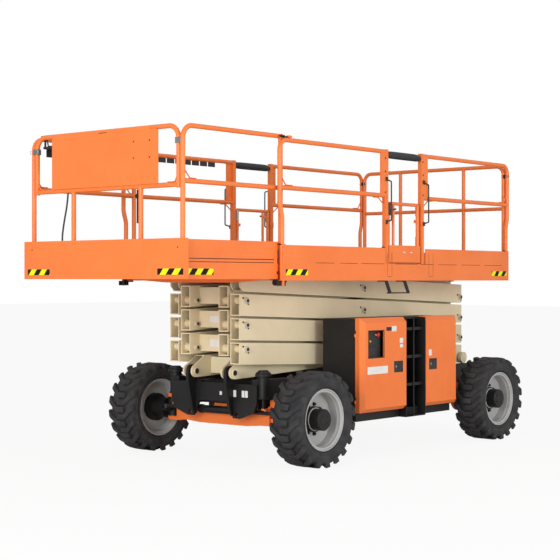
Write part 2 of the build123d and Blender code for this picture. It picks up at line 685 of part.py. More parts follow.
def clevis(level, front_line, rear_line):
    """Cross tube and pair of plates that hold one eye of a lift cylinder; a barrel's has its pin."""
    odd = level % 2 == 1
    cross_x = ODD_CLEVIS_X if odd else EVEN_CLEVIS_X
    eye_x = MID_PIN_X + (-EYE_REACH if odd else EYE_REACH)
    cross_z, eye_z = (on_line(front_line, rear_line, x) for x in (cross_x, eye_x))
    tube = block((cross_x - 45, cross_x + 45), (-INNER_ARM_Y[0] - 2, INNER_ARM_Y[0] + 2), (cross_z - 78, cross_z + 78))
    lean = 40 if odd else -40
    plates = []
    for side in (1, -1):
        y = (side * CLEVIS_Y[0], side * CLEVIS_Y[1])
        plates.append(side_profile(
            [(cross_x + lean, cross_z - 66), (eye_x, eye_z - EYE_RADIUS), (eye_x, eye_z + EYE_RADIUS),
             (cross_x + lean, cross_z + 66)],
            y,
        ))
        plates.append(cross_bar(eye_x, eye_z, y, EYE_RADIUS))
    pin = [cross_bar(eye_x, eye_z, (-CLEVIS_Y[1] - 8, CLEVIS_Y[1] + 8), PIN_RADIUS)] if odd else []
    return weld(tube, plates, pin)


def inner_arms(level):
    """The inner pair of one level, joined by cross tubes: rear end high, front end low."""
    front, rear = pin_height(level - 1), pin_height(level)
    middle = (front + rear) / 2
    front_line, rear_line = front + PIN_OFFSET, rear - PIN_OFFSET
    tube = arm_tube(front_line, rear_line, INNER_ARM_Y)
    places = [(MID_PIN_X, middle)]
    places += [(FRONT_PIN_X, front)] if level > 1 else []
    places += [(REAR_PIN_X, rear)] if level < LEVELS else []
    left = weld(tube, [cross_bar(x, z, INNER_ARM_Y, BOSS_RADIUS) for x, z in places])
    left -= weld([cross_bar(x, z, (INNER_ARM_Y[0] - 5, INNER_ARM_Y[1] + 5), PIN_RADIUS + PIN_FIT) for x, z in places])
    if level == 1:
        left -= block((FRONT_PIN_X - 110, FRONT_PIN_X + 120), (INNER_ARM_Y[0] - 5, INNER_ARM_Y[1] + 5),
                      (front - 110, front + 190))
        left = weld(left, lug_eyes(front_line))
    if level == LEVELS:
        left = weld(
            left,
            cross_bar(REAR_PIN_X, rear, (INNER_ARM_Y[0], INNER_ARM_Y[1] + 62), PIN_RADIUS),
            cross_bar(REAR_PIN_X, rear, INNER_ARM_Y, SLEEVE_RADIUS),
            cross_bar(REAR_PIN_X, rear, (INNER_ARM_Y[1] + 8, INNER_ARM_Y[1] + 60), 50),
        )
    crosses = []
    for x in (BOTTOM_CROSS_X if level == 1 else CROSS_X[0], CROSS_X[1]):
        z = on_line(front_line, rear_line, x)
        crosses.append(block((x - 50, x + 50), (-INNER_ARM_Y[0] - 2, INNER_ARM_Y[0] + 2), (z - 78, z + 78)))
    return weld(left, other_side(left), crosses, clevis(level, front_line, rear_line))


def eye_places(lower):
    """The two eye centres of the lift cylinder that works between inner arms lower and lower + 1."""
    places = []
    for level, x in ((lower, MID_PIN_X - EYE_REACH), (lower + 1, MID_PIN_X + EYE_REACH)):
        places.append((x, on_line(pin_height(level - 1) + PIN_OFFSET, pin_height(level) - PIN_OFFSET, x)))
    return places


def lift_cylinder(lower):
    """Barrel and rod of one lift cylinder, along its stowed line."""
    (x0, z0), (x1, z1) = eye_places(lower)
    reach = math.hypot(x1 - x0, z1 - z0)
    tilt = math.degrees(math.atan2(z1 - z0, x1 - x0))
    barrel = weld(
        cross_bar(0, 0, (-CLEVIS_Y[0] + 2, CLEVIS_Y[0] - 2), 60),
        bar((30, 0, 0), (reach - 90, 0, 0), 2 * CYLINDER_RADIUS),
        bar((reach - 150, 0, 0), (reach - 90, 0, 0), 2 * CYLINDER_RADIUS + 12),
    )
    bore = weld(
        bar((120, 0, 0), (reach - 60, 0, 0), 2 * (ROD_RADIUS + PIN_FIT)),
        cross_bar(0, 0, (-CLEVIS_Y[0], CLEVIS_Y[0]), PIN_RADIUS + PIN_FIT),
    )
    rod = weld(bar((140, 0, 0), (reach - 20, 0, 0), 2 * ROD_RADIUS), cross_bar(reach, 0, (-50, 50), 52))
    place = Pos(x0, 0, z0) * Rot(0, -tilt, 0)
    return place * (barrel - bore), place * rod


def make_mast():
    for level in range(1, LEVELS + 1):
        save(f"outer_arms_{level}", weld(outer_arms(level)))
        save(f"inner_arms_{level}", inner_arms(level))
    for name, lower in (("lower", 1), ("upper", 3)):
        barrel, rod = lift_cylinder(lower)
        save(f"lift_barrel_{name}", barrel)
        save(f"lift_rod_{name}", rod)


# ---------------------------------------------------------------- platform
FLOOR_PLATE = 20
FLOOR_EDGE = EXTENSION_SIDE_Y - 39
SLIDE_BAR = 32
TRACK_Y = (300, 372)
BRACKET_Y = (OUTER_ARM_Y[1] + 12, OUTER_ARM_Y[1] + 34)
INNER_BRACKET_Y = (OUTER_ARM_Y[0] - 30, OUTER_ARM_Y[0] - 8)
TOE_X_FRONT = (GATE_X[1] + 40, DECK_FRONT)
TOE_X_REAR = (DECK_REAR, GATE_X[0] - 40)
RAIL_FOOT_Z = DECK_BOTTOM + 30
SIDE_FOOT_Z = DECK_BOTTOM + 6
REAR_LOOP_Y = POST_Y - RAIL_DIAMETER - 4
REAR_MID_POST_Y = 428
DECK_ROLLER_X = tuple(DECK_FRONT - back for back in (662, 362, 62))
DECK_ROLLER_RADIUS = 16
ROLLER_Z = FLOOR_TOP + EXTENSION_RISE - 50 - DECK_ROLLER_RADIUS - 0.5
GATE_HINGE_X = GATE_X[0] + GATE_POST_WIDTH / 2 + 13
GATE_HINGE_Y = POST_Y - 29
GATE_TOP_Z = RAIL_TOP - 502
GATE_HINGE_Z = tuple(FLOOR_TOP + share * (GATE_TOP_Z - FLOOR_TOP) for share in (0.182, 0.68))


def platform_deck():
    """Main deck: floor, skirts with toe boards, bottom lip, cross members and the mast's brackets."""
    top = pin_height(LEVELS)
    floor = block((DECK_REAR, DECK_FRONT), (-FLOOR_EDGE, FLOOR_EDGE), (FLOOR_TOP - FLOOR_PLATE, FLOOR_TOP))
    half = DECK_HALF_WIDTH
    skirt = weld(
        block((DECK_REAR, DECK_FRONT), (half - SKIN, half), (DECK_BOTTOM, FLOOR_TOP)),
        block(TOE_X_FRONT, (half - SKIN, half), (FLOOR_TOP, TOE_TOP)),
        block(TOE_X_REAR, (half - SKIN, half), (FLOOR_TOP, TOE_TOP)),
        block((DECK_REAR, DECK_FRONT), (FLOOR_EDGE - 60, half), (DECK_BOTTOM, DECK_BOTTOM + 6)),
        block((DECK_REAR, DECK_FRONT), (FLOOR_EDGE - 60, FLOOR_EDGE - 50), (DECK_BOTTOM, FLOOR_TOP - FLOOR_PLATE)),
    )
    corner = POST_Y - RAIL_DIAMETER / 2 - 3
    rear = block((DECK_REAR, DECK_REAR + SKIN), (-corner, corner), (DECK_BOTTOM, TOE_TOP))
    lip = DECK_BOTTOM + 4
    half_nose = [(FLOOR_EDGE - 60, FLOOR_TOP - 18), (FLOOR_EDGE - 60, lip), (770, lip), (420, lip - 22)]
    nose = front_profile(half_nose + [(-y, z) for y, z in reversed(half_nose)], (DECK_FRONT - 28, DECK_FRONT))
    tracks = both_sides(block((DECK_REAR, -80), TRACK_Y, (top + 52, FLOOR_TOP - FLOOR_PLATE)))
    members = [
        block((x, x + 50), sorted((side * 500, side * (FLOOR_EDGE - 50))), (DECK_BOTTOM + 10, FLOOR_TOP - FLOOR_PLATE))
        for x in (-1500, -900, -300, 300, 900, 1450)
        for side in (1, -1)
    ]
    stringers = both_sides(block((DECK_REAR, DECK_FRONT), (490, 505), (DECK_BOTTOM + 10, FLOOR_TOP - FLOOR_PLATE)))
    outline = [
        (FRONT_PIN_X - 50, top - 45), (FRONT_PIN_X + 50, top - 45),
        (FRONT_PIN_X + 70, FLOOR_TOP - FLOOR_PLATE), (FRONT_PIN_X - 90, FLOOR_TOP - FLOOR_PLATE),
    ]
    brackets = [side_profile(outline, y) for y in (BRACKET_Y, INNER_BRACKET_Y)]
    brackets += [other_side(b) for b in brackets]
    ledges = [
        shape for y in (REAR_LOOP_Y, REAR_MID_POST_Y)
        for shape in both_sides(block((REAR_POST_X - 21, DECK_REAR), (y - 23, y + 23), (RAIL_FOOT_Z - 16, RAIL_FOOT_Z)))
    ]
    axles = [bar((x, FLOOR_EDGE - 52, ROLLER_Z), (x, FLOOR_EDGE + 10, ROLLER_Z), 16) for x in DECK_ROLLER_X]
    roller_y = (EXTENSION_SIDE_Y - SLIDE_BAR, EXTENSION_SIDE_Y - SKIN - 5)
    rollers = [bar((x, roller_y[0], ROLLER_Z), (x, roller_y[1], ROLLER_Z), 2 * DECK_ROLLER_RADIUS)
               for x in DECK_ROLLER_X]
    body = weld(floor, both_sides(skirt), rear, nose, tracks, members, stringers, brackets, ledges)
    body = weld(body, both_sides(weld(axles, rollers)))
    pins = cross_bar(FRONT_PIN_X, top, (INNER_BRACKET_Y[0] - 5, BRACKET_Y[1] + 5), PIN_RADIUS + PIN_FIT)
    return body - weld(both_sides(pins))


def guardrail_side():
    """Left guardrail: the frame ahead of the gate and the frame behind it, with jogged corner posts."""
    centre = RAIL_TOP - RAIL_DIAMETER / 2
    front_x = DECK_FRONT + 8
    pieces = []
    post = GATE_POST_WIDTH / 2
    for end_x, gate_x, jog in ((front_x, GATE_X[1], -FRONT_JOG), (REAR_POST_X, GATE_X[0], REAR_JOG)):
        path = [(end_x + jog, POST_Y, SIDE_FOOT_Z), (end_x + jog, POST_Y, JOG_Z[0]), (end_x, POST_Y, JOG_Z[1]),
                (end_x, POST_Y, centre), (gate_x, POST_Y, centre)]
        loop = bent_tube(path, RAIL_DIAMETER, [90, 90, 90])
        outward = 1 if end_x > gate_x else -1
        gate_post = block((gate_x - post, gate_x + post), (POST_Y - 21, POST_Y + 21), (SIDE_FOOT_Z, RAIL_TOP))
        plate = block(sorted((gate_x - outward * 6, gate_x + outward * 92)), (POST_Y + 3, POST_Y + 21),
                      (MID_RAIL_Z - 11, RAIL_TOP - 15))
        mid = bar((end_x, POST_Y, MID_RAIL_Z), (gate_x, POST_Y, MID_RAIL_Z), RAIL_DIAMETER)
        pieces.append(weld(loop, gate_post, plate, mid))
    for z in GATE_HINGE_Z:
        leaf = block((GATE_X[0], GATE_HINGE_X), (GATE_HINGE_Y + 2, GATE_HINGE_Y + 8), (z, z + 2 * HINGE_LENGTH))
        knuckle_z = z + HINGE_LENGTH + 0.5
        pieces[1] = weld(
            pieces[1],
            leaf - block((GATE_HINGE_X - 9, GATE_HINGE_X + 1), (GATE_HINGE_Y - 9, GATE_HINGE_Y + 9),
                         (z - 1, knuckle_z)),
            bar((GATE_HINGE_X, GATE_HINGE_Y, knuckle_z), (GATE_HINGE_X, GATE_HINGE_Y, z + 2 * HINGE_LENGTH),
                2 * HINGE_RADIUS),
            block((GATE_X[0] - post, GATE_X[0] + post), (GATE_HINGE_Y + 2, POST_Y), (z, z + 2 * HINGE_LENGTH)),
        )
    return pieces


def guardrail_rear():
    """Rear guardrail: one bent loop with a mid rail and two posts."""
    centre = RAIL_TOP - RAIL_DIAMETER / 2
    end_y = REAR_LOOP_Y
    x = REAR_POST_X
    foot = RAIL_FOOT_Z
    path = [(x, -end_y, foot), (x, -end_y, centre), (x, end_y, centre), (x, end_y, foot)]
    loop = bent_tube(path, RAIL_DIAMETER, 90)
    mid = bar((x, -end_y, MID_RAIL_Z - 40), (x, end_y, MID_RAIL_Z - 40), TEE_DIAMETER)
    posts = [bar((x, y, foot), (x, y, centre), TEE_DIAMETER) for y in (-REAR_MID_POST_Y, REAR_MID_POST_Y)]
    return weld(loop, mid, posts)


def header_bars():
    """Padded bar over each gate opening, whose rear end is bent down on to the post."""
    post = GATE_POST_WIDTH / 2
    z = RAIL_TOP - 48
    pad = bar((GATE_X[0] + post + 40, POST_Y, z), (GATE_X[1] - post, POST_Y, z), 74)
    tail = bar((GATE_X[0] + post, POST_Y, z), (GATE_X[0] + post + 42, POST_Y, z), 56)
    return both_sides(weld(pad, tail))


def gate():
    """Left gate: kick panel, uprights and a top rail; hinged at its rear edge."""
    y = POST_Y
    rear, front = GATE_HINGE_X + 12, GATE_X[1] - GATE_POST_WIDTH / 2 - 8
    panel = block((rear, front), (y + 17, y + 25), (FLOOR_TOP + 14, TOE_TOP + 28))
    posts = [bar((x, y, FLOOR_TOP + 16), (x, y, GATE_TOP_Z - 17), 34) for x in (rear + 17, front - 17)]
    second = bar((front - 100, y, FLOOR_TOP + 16), (front - 100, y, GATE_TOP_Z - 17), 28)
    top = bar((rear + 17, y, GATE_TOP_Z - 17), (front - 17, y, GATE_TOP_Z - 17), 34)
    feet = [block((x - 12, x + 12), (y, y + 18), (FLOOR_TOP + 20, FLOOR_TOP + 120)) for x in (rear + 17, front - 17)]
    latch = block((front - 100, front - 2), (y - 10, y + 10), (GATE_TOP_Z - 93, GATE_TOP_Z - 67))
    hinges = []
    for z in GATE_HINGE_Z:
        hinges.append(bar((GATE_HINGE_X, GATE_HINGE_Y, z), (GATE_HINGE_X, GATE_HINGE_Y, z + HINGE_LENGTH), 16))
        hinges.append(block((GATE_HINGE_X, rear + 17), (GATE_HINGE_Y - 4, GATE_HINGE_Y + 4), (z, z + HINGE_LENGTH)))
        hinges.append(block((rear, rear + 34), (GATE_HINGE_Y - 4, y), (z, z + HINGE_LENGTH)))
    return weld(panel, posts, second, top, feet, latch, hinges)


STEP_X = (-10, 300)
STEP_WIDTH = 45
STEP_SWING = 60


def entry_steps():
    """Folded stirrup step under each gate: two flat arms that slant rearward to a thin rung."""
    top, bottom = DECK_BOTTOM, DECK_BOTTOM - 116
    y = (DECK_HALF_WIDTH - 24, DECK_HALF_WIDTH - 14)
    arms = [
        side_profile([(x, top - 8), (x + STEP_WIDTH, top - 8), (x + STEP_WIDTH - STEP_SWING, bottom),
                      (x - STEP_SWING, bottom)], y)
        for x in STEP_X
    ]
    feet = [block((x, x + STEP_WIDTH), (DECK_HALF_WIDTH - 110, y[1]), (top - 10, top)) for x in STEP_X]
    rung = block((STEP_X[0] - STEP_SWING, STEP_X[1] + STEP_WIDTH - STEP_SWING), (y[0] - 18, y[1]), (bottom - 10, bottom + 2))
    return both_sides(weld(arms, feet, rung))


FRONT_ROLLER = (DECK_FRONT + 25, DECK_BOTTOM - 16, 28)


def slide_rollers():
    """Roller and bracket under each front corner of the main deck, which carries the roll-out deck."""
    x, z, radius = FRONT_ROLLER
    edge = DECK_HALF_WIDTH - 13.5
    plate = block((DECK_FRONT - 60, x + 34), (edge - 18, edge - 4), (z - 30, DECK_BOTTOM - 2))
    shoe = block((DECK_FRONT - 70, DECK_FRONT - 2), (edge - 74, edge), (DECK_BOTTOM - 14, DECK_BOTTOM))
    roller = bar((x, edge - 66, z), (x, edge - 40, z), 2 * radius)
    axle = bar((x, edge - 70, z), (x, edge, z), 20)
    return both_sides(weld(plate, shoe, roller, axle))


def make_platform():
    save("platform_deck", platform_deck())
    left = weld(guardrail_side())
    save("guardrail_left", left)
    save("guardrail_right", other_side(left))
    save("guardrail_rear", guardrail_rear())
    save("header_bars", weld(header_bars()))
    middle = (GATE_X[0] + GATE_X[1]) / 2
    save("gate_left", gate())
    save("gate_right", Pos(2 * middle, 0, 0) * Rot(0, 0, 180) * gate())
    save("entry_steps", weld(entry_steps()))
    save("slide_rollers", weld(slide_rollers()))


# ---------------------------------------------------------------- roll-out deck
EXT_FLOOR_TOP = FLOOR_TOP + EXTENSION_RISE
EXT_REAR = DECK_FRONT - EXTENSION_OVERLAP
EXT_SIDE_REAR = DECK_FRONT + 38
EXT_RAIL_TOP = RAIL_TOP + EXTENSION_RISE
EXT_POST_X = EXTENSION_FRONT - 12 - 6 - RAIL_DIAMETER / 2
PANEL_Y = (-655, 668)
PANEL_Z = (MID_RAIL_Z - 15, RAIL_TOP + 30)
SHIELD_STEP = (85, 30)
CHANNEL_Z = (EXT_FLOOR_TOP - 45, EXT_FLOOR_TOP - 10)
EXT_BOTTOM = DECK_BOTTOM + 13
LOW_RAIL_Z = MID_RAIL_Z - 30
EXT_MID_POST_Y = (-398, 440)


# The control cable leaves a gland under the control box and goes into a gland on the deck.
CABLE_DIAMETER = 16
GLAND = 22
BOX_Z = (RAIL_TOP - 255, RAIL_TOP - 65)
CABLE_EXIT = (EXT_POST_X - 120, 327 - EXTENSION_POST_Y, BOX_Z[0] - GLAND)
CABLE_END = (CABLE_EXIT[0] + 6, CABLE_EXIT[1] - 60, EXT_FLOOR_TOP + GLAND)


def gland(end, base_z):
    """A round cable gland between a cable's end and the face it is screwed to."""
    return bar(end, (end[0], end[1], base_z), CABLE_DIAMETER + 12)


def extension_deck():
    """Roll-out deck: floor, side skirts, slide bars and the full-width front fascia."""
    side = EXTENSION_SIDE_Y
    floor = block((EXT_REAR, EXTENSION_FRONT - 12), (-side + 20, side - 20), (EXT_FLOOR_TOP - 22, EXT_FLOOR_TOP))
    bars = both_sides(
        block((EXT_REAR, EXTENSION_FRONT - 12), (side - SLIDE_BAR, side), (EXT_FLOOR_TOP - 50, EXT_FLOOR_TOP - 2))
    )
    skirts = both_sides(block((EXT_SIDE_REAR, EXTENSION_FRONT - 12), (side - SKIN, side), (EXT_BOTTOM, TOE_TOP + 28)))
    fascia = block((EXTENSION_FRONT - 12, EXTENSION_FRONT), (-DECK_HALF_WIDTH, DECK_HALF_WIDTH),
                   (EXT_BOTTOM, TOE_TOP + EXTENSION_RISE))
    corners = both_sides(
        block((EXTENSION_FRONT - 62, EXTENSION_FRONT - 12), (side - SLIDE_BAR, side - 2), (EXT_BOTTOM + 51, EXT_FLOOR_TOP - 22))
    )
    body = weld(floor, bars, skirts, fascia, corners, gland(CABLE_END, EXT_FLOOR_TOP - 2))
    grooves = both_sides(block((EXT_SIDE_REAR - 1, EXTENSION_FRONT - 60), (side - 6, side + 1), CHANNEL_Z))
    return body - weld(grooves)


def extension_guardrail():
    """Roll-out deck's rails: two side frames and the front frame between them."""
    centre = EXT_RAIL_TOP - RAIL_DIAMETER / 2
    y = EXTENSION_POST_Y
    x = EXT_POST_X
    rear_x = DECK_FRONT - 74
    foot = EXT_FLOOR_TOP
    side = weld(
        bent_tube([(x, y, foot), (x, y, centre), (rear_x, y, centre)], RAIL_DIAMETER, 110),
        bar((rear_x, y, foot), (rear_x, y, EXT_RAIL_TOP), RAIL_DIAMETER),
        bar((x, y, MID_RAIL_Z), (rear_x, y, MID_RAIL_Z), RAIL_DIAMETER),
    )
    end_y = y - RAIL_DIAMETER - 3
    low_z = LOW_RAIL_Z
    front = weld(
        bent_tube([(x, -end_y, low_z - 26), (x, -end_y, centre), (x, end_y, centre), (x, end_y, low_z - 26)],
                  RAIL_DIAMETER, 110),
        bar((x, -end_y, low_z), (x, end_y, low_z), RAIL_DIAMETER),
        [bar((x, py, foot), (x, py, low_z), RAIL_DIAMETER) for py in EXT_MID_POST_Y],
    )
    return [side, other_side(side), front]


def control_shield():
    """Plate on the front of the front frame, which guards the platform controls."""
    x = EXT_POST_X + RAIL_DIAMETER / 2
    right, left = PANEL_Y
    bottom, top = PANEL_Z
    width, drop = SHIELD_STEP
    outline = [
        (right, bottom), (left, bottom), (left, top - drop - 22), (left - 10, top - drop - 5), (left - 26, top - drop),
        (left - width, top - drop), (left - width - 16, top), (right + 42, top), (right + 14, top - 12), (right, top - 42),
    ]
    return front_profile(outline, (x, x + 6))


def control_box():
    """Platform control box, hung on the front frame's top rail at the right-hand end."""
    x = EXT_POST_X - RAIL_DIAMETER / 2
    right = 87 - EXTENSION_POST_Y
    return weld(block((x - 230, x), (right, right + 280), BOX_Z), gland(CABLE_EXIT, BOX_Z[0] + 2))


def control_cable():
    x, y, z = CABLE_EXIT
    drop = z - CABLE_END[2]
    # X and Y off the exit, share of the drop
    bow = [(0, 0, 0), (0, 0, 0.155), (-10, -16, 0.39), (-4, -46, 0.62), (6, -60, 0.83)]
    route = [(x + dx, y + dy, z - share * drop) for dx, dy, share in bow] + [CABLE_END]
    runs = [(Vector(b) - Vector(a)).length for a, b in zip(route, route[1:])]
    radii = []
    for i in range(1, len(route) - 1):
        turn = (Vector(route[i]) - Vector(route[i - 1])).get_angle(Vector(route[i + 1]) - Vector(route[i]))
        radii.append(0.45 * min(runs[i - 1], runs[i]) / math.tan(math.radians(turn) / 2))
    print("cable bend radii", [round(r) for r in radii], "length", round(sum(runs)))
    path = FilletPolyline(*route, radius=radii)
    section = Plane(origin=path @ 0, z_dir=path % 0) * Circle(CABLE_DIAMETER / 2)
    return sweep(section, path=path)


def make_extension():
    save("extension_deck", extension_deck())
    save("extension_guardrail", weld(extension_guardrail()))
    save("control_shield", control_shield())
    save("control_box", control_box())
    save("control_cable", control_cable())


make_wheels()
make_chassis()
make_mast()
make_platform()
make_extension()
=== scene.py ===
# %% [markdown]
# # A rough-terrain scissor lift, dressed in Blender
# The machine's rigid parts come as a fixed frame: sheet steel, tubes, arms and wheels that already have
# their real sizes. This lesson gives them their finishes, and models what a CAD model leaves out, such as
# bolts, clamps, stickers, tread and the cable. Every new piece is built in the frame's own coordinates.

import math

import bmesh
import bpy
from mathutils import Matrix, Vector


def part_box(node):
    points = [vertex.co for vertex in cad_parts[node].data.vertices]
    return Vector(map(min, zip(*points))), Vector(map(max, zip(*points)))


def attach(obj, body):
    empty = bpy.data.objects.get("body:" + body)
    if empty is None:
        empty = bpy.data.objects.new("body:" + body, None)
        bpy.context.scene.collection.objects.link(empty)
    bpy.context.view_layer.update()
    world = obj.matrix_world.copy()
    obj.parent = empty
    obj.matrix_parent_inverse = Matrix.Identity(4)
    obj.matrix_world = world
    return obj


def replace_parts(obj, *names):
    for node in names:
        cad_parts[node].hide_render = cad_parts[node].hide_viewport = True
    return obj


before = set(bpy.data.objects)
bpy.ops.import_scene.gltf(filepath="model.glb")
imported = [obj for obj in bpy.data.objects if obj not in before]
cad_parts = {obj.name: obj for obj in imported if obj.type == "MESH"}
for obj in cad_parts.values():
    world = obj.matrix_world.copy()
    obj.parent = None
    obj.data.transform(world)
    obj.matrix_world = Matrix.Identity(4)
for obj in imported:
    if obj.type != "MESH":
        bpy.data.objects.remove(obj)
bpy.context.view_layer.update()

# %% [markdown]
# ## A ruler in millimetres
# The frame is in metres and its origin lies under the middle of the machine's overall box. The makers of
# such a machine measure from the wheels instead, so the lesson does too: X is the distance ahead of the
# middle of the wheelbase, Y is to the left and Z is up, all in millimetres. One function turns such a place
# into the frame's metres.

# %% The ruler
AXLE_Z = 436
wheel_spots = {}
for corner in ("front_left", "front_right", "rear_left", "rear_right"):
    low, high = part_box("tyre_" + corner)
    wheel_spots[corner] = (low + high) / 2
MIDDLE_X = (wheel_spots["front_left"].x + wheel_spots["rear_left"].x) / 2


def spot(x, y, z):
    """A place in millimetres, X from the middle of the wheelbase, as a point of the frame."""
    return Vector((x / 1000 + MIDDLE_X, y / 1000, z / 1000))


print("middle of the wheelbase at X =", round(MIDDLE_X, 4))

# %% [markdown]
# ## Camera
# A catalogue view of a machine is taken from far away with a long lens, so that its lines stay nearly
# parallel. The camera stands level, a little over half the machine's height, ahead of its front left corner.

# %% Camera
CAMERA_TURN = math.radians(39.80)
CAMERA_LENS = 91.2
CAMERA_PLACE = (11528.5, 8996.1, 1691.6)
camera_data = bpy.data.cameras.new("camera")
camera_data.lens = CAMERA_LENS
camera_data.sensor_width = 36
camera_data.clip_end = 200
camera = bpy.data.objects.new("camera", camera_data)
bpy.context.scene.collection.objects.link(camera)
camera.location = spot(*CAMERA_PLACE)
looking = Vector((-math.cos(CAMERA_TURN), -math.sin(CAMERA_TURN), 0))
camera.rotation_euler = looking.to_track_quat("-Z", "Y").to_euler()
bpy.context.scene.camera = camera
bpy.context.scene.view_settings.view_transform = "Standard"
print("camera at", [round(v, 2) for v in camera.location])

# %% [markdown]
# ## One way to write a material
# A material is a small graph. Two helpers keep each graph readable: one turns the usual hex colours into the
# linear values that a renderer counts with, and one adds a node together with its settings and its links.

# %% Helpers for materials
def srgb(code):
    """Linear RGBA from an sRGB hex colour."""
    parts = [int(code[i : i + 2], 16) / 255 for i in (1, 3, 5)]
    return [c / 12.92 if c < 0.04045 else ((c + 0.055) / 1.055) ** 2.4 for c in parts] + [1]


def add(tree, kind, links=None, **settings):
    """A node of that kind; settings name its properties, links name its sockets, with a value or a socket."""
    made = tree.nodes.new(kind)
    for key, value in settings.items():
        setattr(made, key, value)
    for socket, value in (links or {}).items():
        if isinstance(value, bpy.types.NodeSocket):
            tree.links.new(value, made.inputs[socket])
        else:
            made.inputs[socket].default_value = value
    return made


def calc(tree, operation, *values):
    """The result of a math node on sockets or numbers."""
    return add(tree, "ShaderNodeMath", dict(enumerate(values)), operation=operation).outputs[0]


def bump(tree, height, strength, distance):
    """Gives the shader a bump of that height socket, distance in metres."""
    made = add(tree, "ShaderNodeBump", {"Height": height, "Strength": strength, "Distance": distance})
    tree.links.new(made.outputs["Normal"], tree.nodes["Principled BSDF"].inputs["Normal"])


def put(name, data):
    """A new object of that data, at the origin of the scene."""
    made = bpy.data.objects.new(name, data)
    bpy.context.scene.collection.objects.link(made)
    return made


def new_material(name, colour, roughness, metallic=0.0, **sockets):
    """A material with one Principled shader, whose uniform values stand on the shader's own sockets."""
    material = bpy.data.materials.new(name)
    material.use_nodes = True
    shader = material.node_tree.nodes["Principled BSDF"]
    shader.inputs["Base Color"].default_value = srgb(colour)
    shader.inputs["Roughness"].default_value = roughness
    shader.inputs["Metallic"].default_value = metallic
    for socket, value in sockets.items():
        shader.inputs[socket.replace("_", " ")].default_value = value
    material.diffuse_color = srgb(colour)
    return material


def ramp(tree, value, stops):
    """A colour ramp through (position, colour) stops, of one value."""
    made = add(tree, "ShaderNodeValToRGB", {"Fac": value})
    elements = made.color_ramp.elements
    while len(elements) < len(stops):
        elements.new(0.5)
    for element, (place, colour) in zip(elements, stops):
        element.position = place
        element.color = srgb(colour)
    return made.outputs["Color"]


# %% [markdown]
# ## Powder coat and wet paint
# A scissor lift's guardrails and doors are powder coated: the powder melts to a thick, even skin with a faint
# orange-peel waviness, a few millimetres from crest to crest, and a soft gloss. Arms and chassis are sprayed
# with a two-pack paint, which is thinner and a little duller. Both get the same graph: a broad, faint change
# of tone where dust and hands have dulled it, a fine peel as bump, and a roughness that follows the tone.

# %% Painted steel
CLOUD_MM = 420
MOTTLE_MM = 90


def painted_steel(name, colour, dusty, roughness, peel_mm=3.0, coat=0.0, shine=0.5):
    """Painted steel: colour where clean, dusty where dulled, with orange peel peel_mm from crest to crest."""
    material = new_material(name, colour, roughness, 0.0, Coat_Weight=coat, Coat_Roughness=0.12,
                            Specular_IOR_Level=shine)
    tree = material.node_tree
    shader = tree.nodes["Principled BSDF"]
    place = add(tree, "ShaderNodeTexCoord").outputs["Object"]
    cloud = add(tree, "ShaderNodeTexNoise", {"Vector": place, "Scale": 1000 / CLOUD_MM, "Detail": 4,
                                             "Roughness": 0.6})
    tone = ramp(tree, cloud.outputs["Fac"], [(0.38, colour), (0.72, dusty)])
    tree.links.new(tone, shader.inputs["Base Color"])
    dull = add(tree, "ShaderNodeMapRange", {"Value": cloud.outputs["Fac"], "From Min": 0.35, "From Max": 0.7,
                                            "To Min": roughness - 0.05, "To Max": roughness + 0.1})
    tree.links.new(dull.outputs["Result"], shader.inputs["Roughness"])
    peel = add(tree, "ShaderNodeTexNoise", {"Vector": place, "Scale": 1000 / peel_mm, "Detail": 1})
    bump(tree, peel.outputs["Fac"], 0.05, 0.0004)
    return material


# Railings, skirts, doors and the axles: a warm orange.
orange_coat = painted_steel("orange_powder_coat", "#F47C33", "#EC752F", 0.46, coat=0.06)
# The scissor arms: warm stone beige.
stone_paint = painted_steel("stone_two_pack_paint", "#E6D9B6", "#DDD0AC", 0.5, peel_mm=4)
black_paint = painted_steel("black_chassis_paint", "#131314", "#1E1D1C", 0.5, peel_mm=4, shine=0.3)
rim_paint = painted_steel("pale_grey_rim_paint", "#B4B4B2", "#A3A3A0", 0.45, peel_mm=4)
engine_enamel = painted_steel("grey_engine_enamel", "#55585A", "#4A4B4C", 0.5)
print("painted finishes:", [m.name for m in (orange_coat, stone_paint, black_paint, rim_paint, engine_enamel)])

# %% [markdown]
# ## Rubber, plastic, foam and bare metal
# A new tyre is carbon black rubber, moulded in a blasted mould, so it is matte and evenly grained. Moulded
# plastic has a spark-eroded grain of 1.5 mm. The header pad's foam has a closed skin with a grain of 4 mm.
# Hard chrome is a polished metal. Bolts are black, and clamps and springs are zinc: pale grey, half matte.

# %% Moulded and bare finishes
def grained(name, colour, light, roughness, grain_mm, depth, metallic=0.0, **sockets):
    """A moulded or cast surface with a grain of that size and a faint mottle between two colours."""
    material = new_material(name, colour, roughness, metallic, **sockets)
    tree = material.node_tree
    shader = tree.nodes["Principled BSDF"]
    place = add(tree, "ShaderNodeTexCoord").outputs["Object"]
    grain = add(tree, "ShaderNodeTexNoise", {"Vector": place, "Scale": 1000 / grain_mm, "Detail": 3})
    mottle = add(tree, "ShaderNodeTexNoise", {"Vector": place, "Scale": 1000 / MOTTLE_MM, "Detail": 5})
    tree.links.new(ramp(tree, mottle.outputs["Fac"], [(0.35, colour), (0.7, light)]), shader.inputs["Base Color"])
    bump(tree, grain.outputs["Fac"], 0.35, depth)
    return material


